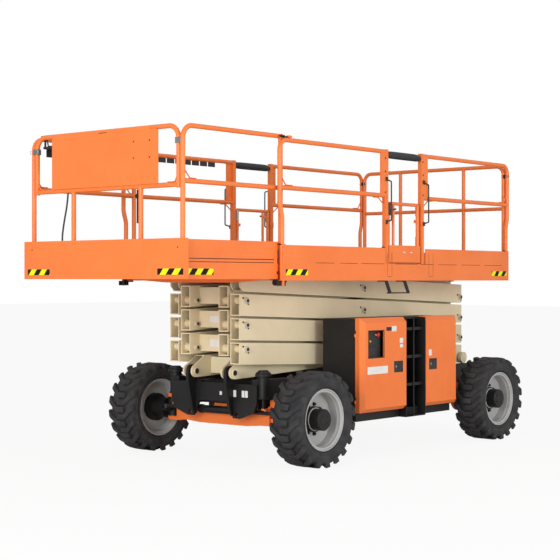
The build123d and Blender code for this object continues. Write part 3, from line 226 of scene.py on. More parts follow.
tyre_rubber = grained("moulded_tyre_rubber", "#2E2E30", "#3F3F40", 0.85, 5, 0.0006, Specular_IOR_Level=0.3)
control_plastic = grained("spark_eroded_abs", "#202123", "#2A2B2D", 0.55, 1.5, 0.0003)
pad_foam = grained("closed_cell_foam_skin", "#1C1C1D", "#262627", 0.7, 4, 0.0006)
cable_jacket = grained("neoprene_cable_jacket", "#18181A", "#222224", 0.5, 3, 0.0002)
zinc_plate = grained("zinc_plated_steel", "#A6A8AA", "#919395", 0.38, 2, 0.0001, metallic=0.85)
dark_steel = grained("black_oxide_steel", "#1E1E1F", "#2A2A2B", 0.46, 2, 0.0001, metallic=0.5)
cast_clamp = grained("zinc_die_casting", "#7E7E7A", "#6B6B67", 0.5, 2, 0.0002, metallic=0.4)
hard_chrome = new_material("hard_chrome_plate", "#D9DBDD", 0.12, 1.0)
sleeve_paint = grained("primer_grey_casting", "#C9C3B2", "#B9B3A2", 0.5, 3, 0.0003)
print("moulded and bare finishes made")


# %% [markdown]
# ## Put the finishes on the frame
# Each node of the frame has one material slot. Its shape stays as it is, and the slot gets the finish.

# %% Finishes of the frame's nodes
HANDS = ((1, "left"), (-1, "right"))
CORNERS = tuple(wheel_spots)
finishes = [
    (orange_coat, ["front_axle", "rear_axle", "platform_deck", "guardrail_left", "guardrail_right",
                   "guardrail_rear", "gate_left", "gate_right", "extension_deck", "extension_guardrail",
                   "control_shield"] + [f"door_{s}_{w}" for _, s in HANDS for w in ("front", "rear")]),
    (stone_paint, [f"{kind}_arms_{i}" for kind in ("inner", "outer") for i in (1, 2, 3, 4)]
     + ["lift_barrel_lower", "lift_barrel_upper"]),
    (black_paint, ["chassis_frame", "oscillation_cylinders", "cabinet_left", "cabinet_right", "steering_cylinder",
                   "entry_steps", "slide_rollers", "knuckle_left", "knuckle_right"]),
    (rim_paint, [f"wheel_{c}" for c in CORNERS]),
    (tyre_rubber, [f"tyre_{c}" for c in CORNERS]),
    (engine_enamel, ["engine"]),
    (control_plastic, ["ground_controls", "control_box"]),
    (pad_foam, ["header_bars"]),
    (cable_jacket, ["control_cable"]),
    (hard_chrome, ["lift_rod_lower", "lift_rod_upper"]),
    (dark_steel, ["steering_rod"]),
]
for finish, names in finishes:
    for name in names:
        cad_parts[name].material_slots[0].material = finish
print("finished nodes:", sum(len(names) for _, names in finishes), "of", len(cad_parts))

# %% [markdown]
# ## The platform control's cable
# The control box hangs on the front rail and a rubber-jacketed cable falls from its gland to a second gland
# on the deck. It is fixed at both ends, a little longer than the gap, so it hangs in one lazy bow. It is a
# NURBS curve whose control points are the cable's route, with a round bevel.

# %% Control cable
def round_curve(name, route, diameter, bevel_resolution, resolution):
    """A NURBS curve through the route's control points, with a round bevel."""
    curve = bpy.data.curves.new(name, "CURVE")
    curve.dimensions = "3D"
    spline = curve.splines.new("NURBS")
    spline.points.add(len(route) - 1)
    for point, place in zip(spline.points, route):
        point.co = (*spot(*place), 1)
    spline.order_u = 3
    spline.use_endpoint_u = True
    curve.bevel_depth = diameter / 2000
    curve.bevel_resolution = bevel_resolution
    curve.resolution_u = resolution
    return curve


CABLE_DIAMETER = 16
EXIT = (2971, -600, 2678)
LANDING = (EXIT[0] + 6, EXIT[1] - 60, 1907)
CABLE_DROP = EXIT[2] - LANDING[2]
# (X off the exit, Y off the exit, share of the drop)
bow = [(0, 0, 0), (0, 0, 0.155), (-6, -22, 0.39), (2, -62, 0.62), (8, -84, 0.83), (6, -60, 1)]
cable_route = [(EXIT[0] + dx, EXIT[1] + dy, EXIT[2] - share * CABLE_DROP) for dx, dy, share in bow]
cable_curve = round_curve("control_cable_hanging", cable_route, CABLE_DIAMETER, 5, 12)
cable_curve.materials.append(cable_jacket)
cable = put("control_cable_hanging", cable_curve)
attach(cable, "extension")
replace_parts(cable, "control_cable")

# %% [markdown]
# ## Shapes that the small parts share
# Most of a machine's small parts are blocks, round bars, hexagon heads and bent rods. Each is one call of a
# bmesh operator with a matrix that sizes, turns and places it, and a narrow bevel that catches the light as a
# broken edge does. A finished mesh is merged, its faces are turned outward, and only edges sharper than
# 35 degrees stay crisp.

# %% Blocks and bars
def soften(mesh, edges, width, segments=1, unit=1000):
    """Breaks the edges with a bevel of that width, unit to the metre, or unit 1 in a mesh made in millimetres."""
    bmesh.ops.bevel(mesh, geom=list(edges), offset=width / unit, affect="EDGES", segments=segments, profile=0.5,
                    material=-1)


def edges_at(corners):
    """Every edge that meets one of the corners."""
    return {edge for corner in corners for edge in corner.link_edges}


def add_block(mesh, x, y, z, bevel=0, turn=None):
    """A block between the (low, high) pairs x, y and z, turned about its middle by a matrix."""
    size = Matrix.Diagonal([abs(pair[1] - pair[0]) / 1000 for pair in (x, y, z)]).to_4x4()
    middle = Matrix.Translation(spot(*(sum(pair) / 2 for pair in (x, y, z))))
    made = bmesh.ops.create_cube(mesh, size=1, matrix=middle @ (turn or Matrix()) @ size)
    if bevel:
        soften(mesh, edges_at(made["verts"]), bevel)


def add_bar(mesh, start, end, diameter, bevel=0, sides=24, tip=None):
    """A round bar between two places, or with six sides a hexagon head; tip is another diameter at its end."""
    low, high = spot(*start), spot(*end)
    line = high - low
    place = Matrix.Translation((low + high) / 2) @ line.to_track_quat("Z", "Y").to_matrix().to_4x4()
    made = bmesh.ops.create_cone(mesh, cap_ends=True, cap_tris=False, segments=sides, radius1=diameter / 2000,
                                 radius2=(tip or diameter) / 2000, depth=line.length, matrix=place)
    if bevel:
        runs = {edge: (edge.verts[1].co - edge.verts[0].co).normalized() for edge in edges_at(made["verts"])}
        soften(mesh, [edge for edge, run in runs.items() if abs(run.dot(line.normalized())) < 0.3], bevel)


def across(side, low, high):
    """A (low, high) pair along Y on the left for side 1, on the right for side -1."""
    return tuple(sorted((side * low, side * high)))


def add_bolt(mesh, x, y, z, diameter, bevel=0, sides=6):
    """A bar, or with six sides a bolt's head, along whichever of x, y and z is a (start, end) pair."""
    ends = [[value[i] if isinstance(value, tuple) else value for value in (x, y, z)] for i in (0, 1)]
    add_bar(mesh, *ends, diameter, bevel, sides)


def ring_of(count, radius, x, z):
    """Evenly spaced places on a circle about (x, z), the first half a step round."""
    for i in range(count):
        turn = 2 * math.pi * (i + 0.5) / count
        yield x + radius * math.cos(turn), z + radius * math.sin(turn)


def finish_piece(mesh, name, body, finish, crisp=35):
    """Turns a bmesh into a finished piece that rides on a body."""
    bmesh.ops.remove_doubles(mesh, verts=mesh.verts, dist=1e-6)
    bmesh.ops.recalc_face_normals(mesh, faces=mesh.faces)
    for face in mesh.faces:
        face.smooth = True
    data = bpy.data.meshes.new(name)
    mesh.to_mesh(data)
    mesh.free()
    data.set_sharp_from_angle(angle=math.radians(crisp))
    data.materials.append(finish)
    piece = put(name, data)
    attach(piece, body)
    return piece


def block_piece(name, body, finish, *boxes, bevel=0):
    """A piece made only of blocks, each given as its (low, high) pairs along X, Y and Z."""
    mesh = bmesh.new()
    for box in boxes:
        add_block(mesh, *box, bevel)
    return finish_piece(mesh, name, body, finish)


print("shape helpers ready")


# %% Bent rods
def add_rod(mesh, points, diameter, bend=24):
    """A bent rod through places in millimetres: straight runs, with each corner rounded over bend."""
    places = [Vector(p) for p in points]
    controls = [places[0]]
    for before, corner, after in zip(places, places[1:], places[2:]):
        controls += [corner + (before - corner).normalized() * bend, corner,
                     corner + (after - corner).normalized() * bend]
    controls.append(places[-1])
    curve = round_curve("rod", controls, diameter, 3, 4)
    curve.use_fill_caps = True
    holder = bpy.data.objects.new("rod", curve)
    data = bpy.data.meshes.new_from_object(holder)
    mesh.from_mesh(data)
    bpy.data.objects.remove(holder)
    bpy.data.curves.remove(curve)
    bpy.data.meshes.remove(data)


print("rods can be bent")

# %% [markdown]
# ## Finishes of the small parts
# Hazard tape is retroreflective yellow with slanting black bars, 138 mm from bar to bar. Its pattern is a
# fraction of one length measured across the bars, so it runs straight over the whole tape. Blank stickers are
# white vinyl. Buttons are moulded in red, yellow and orange.

# %% Tape, vinyl and buttons
BAR_PITCH = 138
TAPE_YELLOW = "#EDED10"


def hazard_tape(name, direction):
    """Yellow tape with black bars, square to a direction whose parts count X, Y and Z."""
    material = new_material(name, TAPE_YELLOW, 0.6, Specular_IOR_Level=0.2)
    tree = material.node_tree
    place = add(tree, "ShaderNodeTexCoord").outputs["Object"]
    along = add(tree, "ShaderNodeVectorMath", {0: place, 1: direction}, operation="DOT_PRODUCT")
    part = calc(tree, "FRACT", calc(tree, "MULTIPLY", along.outputs["Value"], 1000 / BAR_PITCH))
    bars = ramp(tree, part, [(0.0, TAPE_YELLOW), (0.5, "#0C0C0B")])
    bars.node.color_ramp.interpolation = "CONSTANT"
    tree.links.new(bars, tree.nodes["Principled BSDF"].inputs["Base Color"])
    return material


side_tape = hazard_tape("hazard_tape_side", (1, 0, 0.8))
front_tape = hazard_tape("hazard_tape_front", (0, 1, -0.8))
white_vinyl = grained("white_vinyl_sticker", "#E9E9E6", "#DDDDDA", 0.45, 6, 0.0001)
red_cap = grained("moulded_red_button", "#D8252A", "#C41F26", 0.35, 3, 0.0001)
yellow_cap = grained("moulded_yellow_button", "#E8D11E", "#D8C21C", 0.4, 3, 0.0001)
orange_cap = grained("moulded_orange_button", "#E07A22", "#CF6E1E", 0.4, 3, 0.0001)
window_black = grained("black_panel_lacquer", "#0F1011", "#161718", 0.3, 6, 0.0001)
print("hazard tape and vinyl made")

# %% [markdown]
# ## Tyres
# A rough-terrain tyre is a round carcass with stiff bars moulded on it. Each bar lies square to the road by the
# middle, bends back over the shoulder and ends as a block on the sidewall; the bars of the two sides are half a
# pitch apart. The carcass is its section spun round the axle. A bar is a short strip of faces, made thick with
# one extrude, broken along its edges with a bevel, and then wrapped on the round tread.

# %% The carcass
TYRE_RADIUS = 436
TREAD_RADIUS = 406
LUGS = 19
# (radius, distance from the middle plane) from the bead over the sidewall to the middle of the tread
half_section = [
    (258, 110), (281, 113), (287, 128), (294, 144), (301, 149), (304, 154), (310, 154), (313, 150), (328, 156),
    (342, 159), (345, 162), (352, 162), (355, 159), (372, 157), (388, 150), (399, 138), (405, 112), (406, 60),
]


def add_carcass(mesh):
    """The carcass round the Y axis at the frame's origin, in metres."""
    section = half_section + [(r, -y) for r, y in reversed(half_section)]
    ring = [mesh.verts.new((0, y / 1000, r / 1000)) for r, y in section]
    edges = [mesh.edges.new((a, b)) for a, b in zip(ring, ring[1:] + ring[:1])]
    bmesh.ops.spin(mesh, geom=ring + edges, cent=(0, 0, 0), axis=(0, 1, 0), angle=2 * math.pi, steps=76,
                   use_merge=True)


# (across the tread, middle of the bar along it, half its width, height of its top)
bar_stations = [(-46, 40, 27, TYRE_RADIUS - 2), (44, 40, 27, TYRE_RADIUS), (96, -2, 28, TYRE_RADIUS),
                (142, -40, 29, TYRE_RADIUS - 3), (163, -56, 30, TYRE_RADIUS - 12)]


def lug_mesh():
    """One bar and its shoulder block, wrapped on the tread, as mesh data."""
    lug = bmesh.new()
    rows = [(lug.verts.new((middle - half, across_y, top)), lug.verts.new((middle + half, across_y, top)))
            for across_y, middle, half, top in bar_stations]
    faces = [lug.faces.new((a[0], a[1], b[1], b[0])) for a, b in zip(rows, rows[1:])]
    under = bmesh.ops.extrude_face_region(lug, geom=faces)
    low = [v for v in under["geom"] if isinstance(v, bmesh.types.BMVert)]
    bmesh.ops.translate(lug, verts=low, vec=(0, 0, TREAD_RADIUS - TYRE_RADIUS - 8))
    bmesh.ops.scale(lug, verts=low, vec=(1.16, 1, 1), space=Matrix.Translation((8, 0, 0)))
    bmesh.ops.recalc_face_normals(lug, faces=lug.faces)
    rim = [e for e in lug.edges if all(v not in low for v in e.verts) and e.calc_face_angle(0) > 0.8]
    soften(lug, rim, 5, 2, unit=1)
    block = bmesh.ops.create_cube(lug, size=1, matrix=Matrix.Translation((-60, 152, 386))
                                  @ Matrix.Shear("XY", 4, (-0.25, 0)) @ Matrix.Diagonal((58, 25, 66, 1)))
    foot = [v for v in block["verts"] if v.co.z < 380]
    bmesh.ops.translate(lug, verts=[v for v in foot if v.co.y > 152], vec=(0, -7, 6))
    soften(lug, edges_at(block["verts"]), 4, unit=1)
    for v in lug.verts:
        turn, radius = v.co.x / TYRE_RADIUS, v.co.z
        v.co = Vector((radius * math.sin(turn), v.co.y, radius * math.cos(turn))) / 1000
    data = bpy.data.meshes.new("lug")
    lug.to_mesh(data)
    lug.free()
    return data


print("a bar is", 2 * bar_stations[0][2], "mm thick; pitch", round(math.pi * 2 * TYRE_RADIUS / LUGS), "mm")

# %% Four tyres
tyre_mesh = bmesh.new()
add_carcass(tyre_mesh)
lug = lug_mesh()
for i in range(2 * LUGS):
    before = len(tyre_mesh.verts)
    tyre_mesh.from_mesh(lug)
    tyre_mesh.verts.ensure_lookup_table()
    fresh = tyre_mesh.verts[before:]
    if i % 2:
        bmesh.ops.scale(tyre_mesh, verts=fresh, vec=(1, -1, 1))
    bmesh.ops.rotate(tyre_mesh, verts=fresh, cent=(0, 0, 0), matrix=Matrix.Rotation(math.pi * i / LUGS, 3, "Y"))
bpy.data.meshes.remove(lug)
for corner, centre in wheel_spots.items():
    copy = tyre_mesh.copy()
    bmesh.ops.translate(copy, verts=copy.verts, vec=centre)
    tyre = finish_piece(copy, f"lugged_tyre_{corner}", f"wheel_{corner}", tyre_rubber, crisp=30)
    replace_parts(tyre, f"tyre_{corner}")
tyre_mesh.free()
print("faces in a tyre:", len(tyre.data.polygons))

# %% [markdown]
# ## Hubs
# A drive hub is a black casting that stands out of the dished rim, with a ring of nuts at its foot and four
# plugs in its face. The cast hub is three bevelled bars over the frame's own hub.

# %% Hub covers, plugs and wheel nuts
NUTS = 9
NUT_CIRCLE = 137
PLUGS = 4
PLUG_CIRCLE = 46
# (start and end outward from the wheel's middle, diameter, bevel, sides)
hub_steps = ((20, 134.6, 196, 9, 64), (134, 137, 128, 1.5, 48), (-14, 26.5, 234, 3, 64))
nut_steps = ((-16, -10, 34, 1, 24), (-11, 8, 28, 1.5, 6), (5, 14, 14, 1, 24))
for corner, centre in wheel_spots.items():
    out = 1 if centre.y > 0 else -1
    hub_x, hub_y = 1000 * (centre.x - MIDDLE_X), 1000 * centre.y
    cover, nuts = bmesh.new(), bmesh.new()
    for start, end, *form in hub_steps:
        add_bolt(cover, hub_x, (hub_y + out * start, hub_y + out * end), AXLE_Z, *form)
    for x, z in ring_of(NUTS, NUT_CIRCLE, hub_x, AXLE_Z):
        for start, end, *form in nut_steps:
            add_bolt(nuts, x, (hub_y + out * start, hub_y + out * end), z, *form)
    for x, z in ring_of(PLUGS, PLUG_CIRCLE, hub_x, AXLE_Z):
        add_bolt(nuts, x, (hub_y + out * 136, hub_y + out * 141), z, 18, 1)
    finish_piece(cover, f"hub_cover_{corner}", f"wheel_{corner}", black_paint)
    finish_piece(nuts, f"wheel_nuts_{corner}", f"wheel_{corner}", dark_steel)
print("wheel nuts:", 4 * NUTS)

# %% [markdown]
# ## Pins of the scissor mast
# Each joint of the mast turns on a through pin. At both ends the pin has a round, pale head with a black
# hexagon bolt in it, and two small bolts lock the outer head. All of them ride on the outer arms.

# %% Pin bolts
BASE_PIN_Z = 834
LEVEL_RISE = 222.5
PIN_X = {"front": 1750, "middle": -50, "rear": -1850}
LOCK_BOLT_CIRCLE = 46
LOCK_BOLT_TURNS = (0.6, 3.9)
pin_count = 0
for level in range(1, 5):
    low, high = BASE_PIN_Z + LEVEL_RISE * (level - 1), BASE_PIN_Z + LEVEL_RISE * level
    places = [(PIN_X["middle"], (low + high) / 2)]
    places += [(PIN_X["front"], high)] if level < 4 else []
    places += [(PIN_X["rear"], low)] if level > 1 else []
    bolts, heads = bmesh.new(), bmesh.new()
    for x, z in places:
        for side, _ in HANDS:
            add_bolt(heads, x, (side * 449, side * 466), z, 58, 4, 32)
            add_bolt(heads, x, (side * 171, side * 156), z, 50, 3, 32)
            add_bolt(bolts, x, (side * 465, side * 473), z, 33, 2)
            add_bolt(bolts, x, (side * 157, side * 149), z, 30, 2)
            for turn in LOCK_BOLT_TURNS:
                add_bolt(bolts, x + LOCK_BOLT_CIRCLE * math.cos(turn), (side * 439, side * 447),
                         z + LOCK_BOLT_CIRCLE * math.sin(turn), 18, 1.5)
            pin_count += 1
    finish_piece(bolts, f"pin_bolts_{level}", f"outer_arms_{level}", dark_steel)
    finish_piece(heads, f"pin_keepers_{level}", f"outer_arms_{level}", sleeve_paint)
print("pins with bolts:", pin_count)

# %% Plates on the mast's cross tubes
for level, half_height in ((2, 34), (3, 30)):
    z = BASE_PIN_Z + LEVEL_RISE * (level - 1) + 44
    block_piece(f"blank_plate_{level}", f"inner_arms_{level}", white_vinyl,
                ((1699.5, 1701.5), (-46, 128), (z - half_height, z + half_height)), bevel=0.4)
print("blank plates on levels 2 and 3")

# %% [markdown]
# ## Padded header bars
# Over each gate hangs a header pad: a closed-cell foam tube with a tough skin, which is round, a little
# crowned along its length and necked where its collar grips the bar. Its outline is spun round the bar, and
# its rear end sags by a few millimetres.

# %% Header pads
RAIL_Y = 986.5
PAD_Z = 2907
PAD_X = (-266, 298)
# (share of the length from the rear end, radius) along the pad
pad_line = [(0.0, 0.5), (0.004, 15), (0.014, 24), (0.035, 28), (0.06, 30), (0.085, 34.5), (0.14, 36.3), (0.32, 36.9),
            (0.55, 36.9), (0.8, 36.6), (0.9, 36.0), (0.925, 33.2), (0.945, 33.4), (0.965, 35.4), (0.985, 33),
            (0.996, 22), (1.0, 0.5)]
for side, hand in HANDS:
    pad = bmesh.new()
    ends = [PAD_X[0] + share * (PAD_X[1] - PAD_X[0]) for share, _ in pad_line]
    line = [pad.verts.new(spot(x, side * RAIL_Y, PAD_Z + radius)) for x, (_, radius) in zip(ends, pad_line)]
    edges = [pad.edges.new(pair) for pair in zip(line, line[1:])]
    bmesh.ops.spin(pad, geom=line + edges, cent=spot(0, side * RAIL_Y, PAD_Z), axis=(1, 0, 0), angle=2 * math.pi,
                   steps=32, use_merge=True)
    for v in pad.verts:
        behind = max(0, 1 - (v.co.x - MIDDLE_X - PAD_X[0] / 1000) / 0.09)
        v.co.z -= 0.007 * behind * behind
    piece = finish_piece(pad, f"header_pad_{hand}", "platform", pad_foam, crisp=70)
    swell = piece.modifiers.new("smooth_skin", "SUBSURF")
    swell.levels = swell.render_levels = 1
    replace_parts(piece, "header_bars")
print("header pads", round(PAD_X[1] - PAD_X[0]), "mm long")

# %% [markdown]
# ## Tape on the platform
# Hazard tape marks both ends of the fascia, the front of the roll-out deck's skirts and both ends of the main
# skirts.

# %% Hazard tape
TAPE_Z = (1735, 1787)
MAIN_SKIRT = (1017.5, 1018.3)
tape_places = (
    ("roll_out_skirt", "extension", (2752, 3060), (958, 958.8)),
    ("main_skirt_front", "platform", (1560, 1872), MAIN_SKIRT),
    ("main_skirt_rear", "platform", (-1890, -1590), MAIN_SKIRT),
)
for side, hand in HANDS:
    for name, body, x, y in tape_places:
        block_piece(f"tape_{name}_{hand}", body, side_tape, (x, across(side, *y), TAPE_Z), bevel=0.2)
    block_piece(f"tape_fascia_{hand}", "extension", front_tape, ((3129.2, 3130.15), across(side, 672, 970), TAPE_Z))
print("lengths of tape:", 2 * (len(tape_places) + 1))

# %% [markdown]
# ## Painted shade in the skirts
# The skirt is folded sheet. Under the toe board, long slots between the welds are drawn as dark dashes of
# painted shade, dark lines of painted shade outline a cover plate beside each gate, and the roll-out deck's
# slide shows as two dark lines of painted shade in its channel.

# %% Skirt slots, cover-plate edges and slide: painted shade
DASHES = ((1166, 1439), (812, 1084), (380, 752), (-180, 200), (-470, -240), (-900, -560), (-1350, -990),
          (-1790, -1440))
COVER_HEIGHT = 222
SLIDE_X = (1960, 3040)
for side, hand in HANDS:
    face = across(side, 1017.2, 1017.9)
    # Dark strips of painted shade: the slots' dashes, and the lines along each cover plate's edges.
    painted_shade_strips = [(x, face, (1845, 1849)) for x in DASHES]
    for x in (329, -386):
        painted_shade_strips += [((x, x + 3), face, (1726, 1726 + COVER_HEIGHT)),
                  ((x - 76, x - 73), face, (1734, 1734 + COVER_HEIGHT)), ((x - 70, x - 2), face, (1724, 1727))]
    block_piece(f"skirt_painted_shade_{hand}", "platform", dark_steel, *painted_shade_strips)
    # Two dark lines of painted shade in the roll-out deck's slide channel.
    groove = across(side, 952, 953)
    block_piece(f"slide_shade_lines_{hand}", "extension", dark_steel,
                (SLIDE_X, groove, (1868, 1874)), (SLIDE_X, groove, (1841, 1846)))
    block_piece(f"skirt_lower_fold_{hand}", "platform", orange_coat,
                ((-1930, 1905), across(side, 1017.4, 1018.6), (1690, 1694)), bevel=0.4)
print("dashes in each seam:", len(DASHES))

# %% [markdown]
# ## Grab handles and gate latches
# Beside each gate opening a black bent rod makes a handle: 14 mm bar, its two ends bolted to the gate post.
# The gate has a black slam latch with a lever, and two coil springs on its hinge pull it shut.

# %% Handles, latches and gate springs
GATE_MIDDLE_X = 16
HANDLE_Y = 1016
LEVER_Y = 1001
SPRING_Y = 957.5
SPRING_TURNS = 12
SPRING_PITCH = 8


def turned(side, x):
    """X on the left side, or its place after half a turn about the gate's middle on the right side."""
    return x if side > 0 else 2 * GATE_MIDDLE_X - x


for side, hand in HANDS:
    handles = bmesh.new()
    y = side * HANDLE_Y
    for post_x, bar_x in ((336, 262), (-304, -384)):
        x, bar = turned(side, post_x), turned(side, bar_x)
        add_rod(handles, [(x, y, 2664), (bar, y, 2648), (bar, y, 2272), (x, y, 2256)], 14)
        for z in (2668, 2252):
            add_block(handles, (x - 13, x + 13), across(side, 1007, 1021), (z - 20, z + 20), bevel=2)
            for bolt_z in (z - 11, z + 11):
                add_bolt(handles, x, (side * 1020, side * 1026), bolt_z, 13, 1)
    finish_piece(handles, f"grab_handles_{hand}", "platform", control_plastic)
    latch = bmesh.new()
    x, y = turned(side, 286), side * LEVER_Y
    add_block(latch, (x - 14, x + 14), across(side, 1000, 1016), (2318, 2440), bevel=3)
    add_rod(latch, [(x, y, 2372), (turned(side, 236), y, 2368), (turned(side, 196), y, 2380)], 10, bend=10)
    add_bar(latch, (turned(side, 204), y, 2378), (turned(side, 164), y, 2384), 18, bevel=4)
    finish_piece(latch, f"gate_latch_{hand}", f"gate_{hand}", control_plastic)
    springs = bmesh.new()
    x, y = turned(side, -254), side * SPRING_Y
    for foot in (2030, 2330):
        for z in range(foot, foot + SPRING_TURNS * SPRING_PITCH, SPRING_PITCH):
            add_bolt(springs, x, y, (z, z + 6), 30, 1.4, 20)
        add_bolt(springs, x, y, (foot - 8, foot + 104), 12, sides=12)
    finish_piece(springs, f"gate_springs_{hand}", "platform", zinc_plate)
    slots = [((x - 17, x + 17), across(side, 1011.2, 1012.2), (1960, 1968))
             for x in (turned(side, 32), turned(side, -85))]
    block_piece(f"kick_panel_slots_{hand}", f"gate_{hand}", white_vinyl, *slots, bevel=0.3)
print("grab handles:", 4)

# %% [markdown]
# ## Braces, clamps and post feet
# Where a mid rail meets a corner post, a 12 mm rod braces the corner, with a flattened end on the rail. The
# folding frames are held at their corners by clamps, and each post stands in a foot with bolts.

# %% Braces
MID_RAIL_Z = 2510
FRONT_RAIL_X = 3091
FRONT_SIDE_Y = 927
# (X of the tab, of the bend and of the post, up or down from the mid rail)
brace_places = ((1750, 1836, 1899, 1), (-1800, -1882, -1936, 1), (511, 440, 340, -1), (-480, -412, -308, -1))
for side, hand in HANDS:
    braces = bmesh.new()
    y = side * RAIL_Y
    for tab_x, bend_x, post_x, up in brace_places:
        z = MID_RAIL_Z + up * 24
        add_rod(braces, [(bend_x - (bend_x - tab_x) * 0.2, y, z), (bend_x, y, z), (post_x, y, z + up * 72)], 12,
                bend=8)
        add_block(braces, sorted((tab_x, bend_x)), across(side, 972, 1001), (z - 3, z + 3), bevel=1)
    finish_piece(braces, f"corner_braces_{hand}", "platform", orange_coat)
    front = bmesh.new()
    y = side * FRONT_SIDE_Y
    add_rod(front, [(2980, y, 2534), (3006, y, 2534), (3074, y, 2606)], 12, bend=8)
    add_block(front, (2940, 3008), across(side, 913, 941), (2531, 2537), bevel=1)
    x = FRONT_RAIL_X
    add_rod(front, [(x, side * 812, 2504), (x, side * 838, 2504), (x, side * 868, 2560)], 12, bend=8)
    add_block(front, (3077, 3105), across(side, 760, 840), (2501, 2507), bevel=1)
    finish_piece(front, f"front_corner_braces_{hand}", "extension", orange_coat)
print("braces:", 2 * (len(brace_places) + 2))

# %% Clamps, top latches and feet
DECK_Z = 2002
FRONT_FOOT = (1885, 1893)
for side, hand in HANDS:
    clamp = bmesh.new()
    add_block(clamp, (3068, 3114), across(side, 852, 928), (2816, 2872), bevel=8)
    add_bolt(clamp, (3112, 3119), side * 890, 2844, 20, 1.5)
    finish_piece(clamp, f"front_corner_clamp_{hand}", "extension", cast_clamp)
    loop = bmesh.new()
    add_rod(loop, [(3110, side * 926, 2850), (3112, side * 957, 2860), (3112, side * 955, 2826),
                   (3110, side * 926, 2836)], 3, bend=12)
    finish_piece(loop, f"clamp_wire_{hand}", "extension", zinc_plate)
    dark = bmesh.new()
    add_block(dark, (-1978, -1938), across(side, 924, 1002), (2798, 2844), bevel=6)
    add_bolt(dark, -1958, (side * 1002, side * 1010), 2821, 20, 1.5)
    for x, z in ((1872, 2970), (1828, 2962), (1790, 2945)):
        add_block(dark, (x - 24, x + 24), across(side, 958, 992), (z - 9, z + 5), bevel=3)
    for x in (350, -294):
        for z in (2870, 2740, 2540):
            add_bolt(dark, x, (side * 1007, side * 1013), z, 15, 1.2)
    for x in (1887, 322, -290, -1928):
        add_block(dark, (x - 34, x + 34), across(side, RAIL_Y - 24, RAIL_Y + 14), (DECK_Z, DECK_Z + 6), bevel=1)
        for bolt_x in (x + 27, x - 27):
            add_bolt(dark, bolt_x, side * (RAIL_Y - 8), (DECK_Z + 6, DECK_Z + 16), 17, 1.5)
    finish_piece(dark, f"rail_clamps_{hand}", "platform", dark_steel)
    block_piece(f"rail_end_stop_{hand}", "platform", orange_coat,
                ((1766, 1812), across(side, 966, 1006), (2957, 2975)), bevel=3)
    feet = bmesh.new()
    y = 440 if side > 0 else -398
    add_block(feet, (3064, 3117), (y - 34, y + 34), FRONT_FOOT, bevel=1.5)
    for bolt_y in (y - 27, y + 27):
        add_bolt(feet, 3076, bolt_y, (FRONT_FOOT[1], FRONT_FOOT[1] + 10), 17, 1.5)
    add_block(feet, (3060, 3117), across(side, 893, 945), FRONT_FOOT, bevel=1.5)
    finish_piece(feet, f"front_post_feet_{hand}", "extension", dark_steel)
print("clamps at four corners")

# %% [markdown]
# ## Hanging flaps on the right side
# Eight black foam flaps hang under the right front rail, each let into the underside of the tube.

# %% Rail flaps
FLAPS = 8
FLAP_PITCH = 121.6
FLAP_Z = (2866, 2925)
flap_middles = [1511 - FLAP_PITCH * i for i in range(FLAPS)]
block_piece("rail_flaps", "platform", pad_foam, *[((x - 54, x + 54), (-989, -983), FLAP_Z) for x in flap_middles],
            bevel=2.5)
print("rail flaps:", FLAPS)

# %% [markdown]
# ## The cabinet doors' fittings
# Each door has a black slam latch in a pocket: a dished plate with a paddle and a key barrel. The left front
# door's window shows the ground controls, with a red stop button. Plates on the doors are blank.

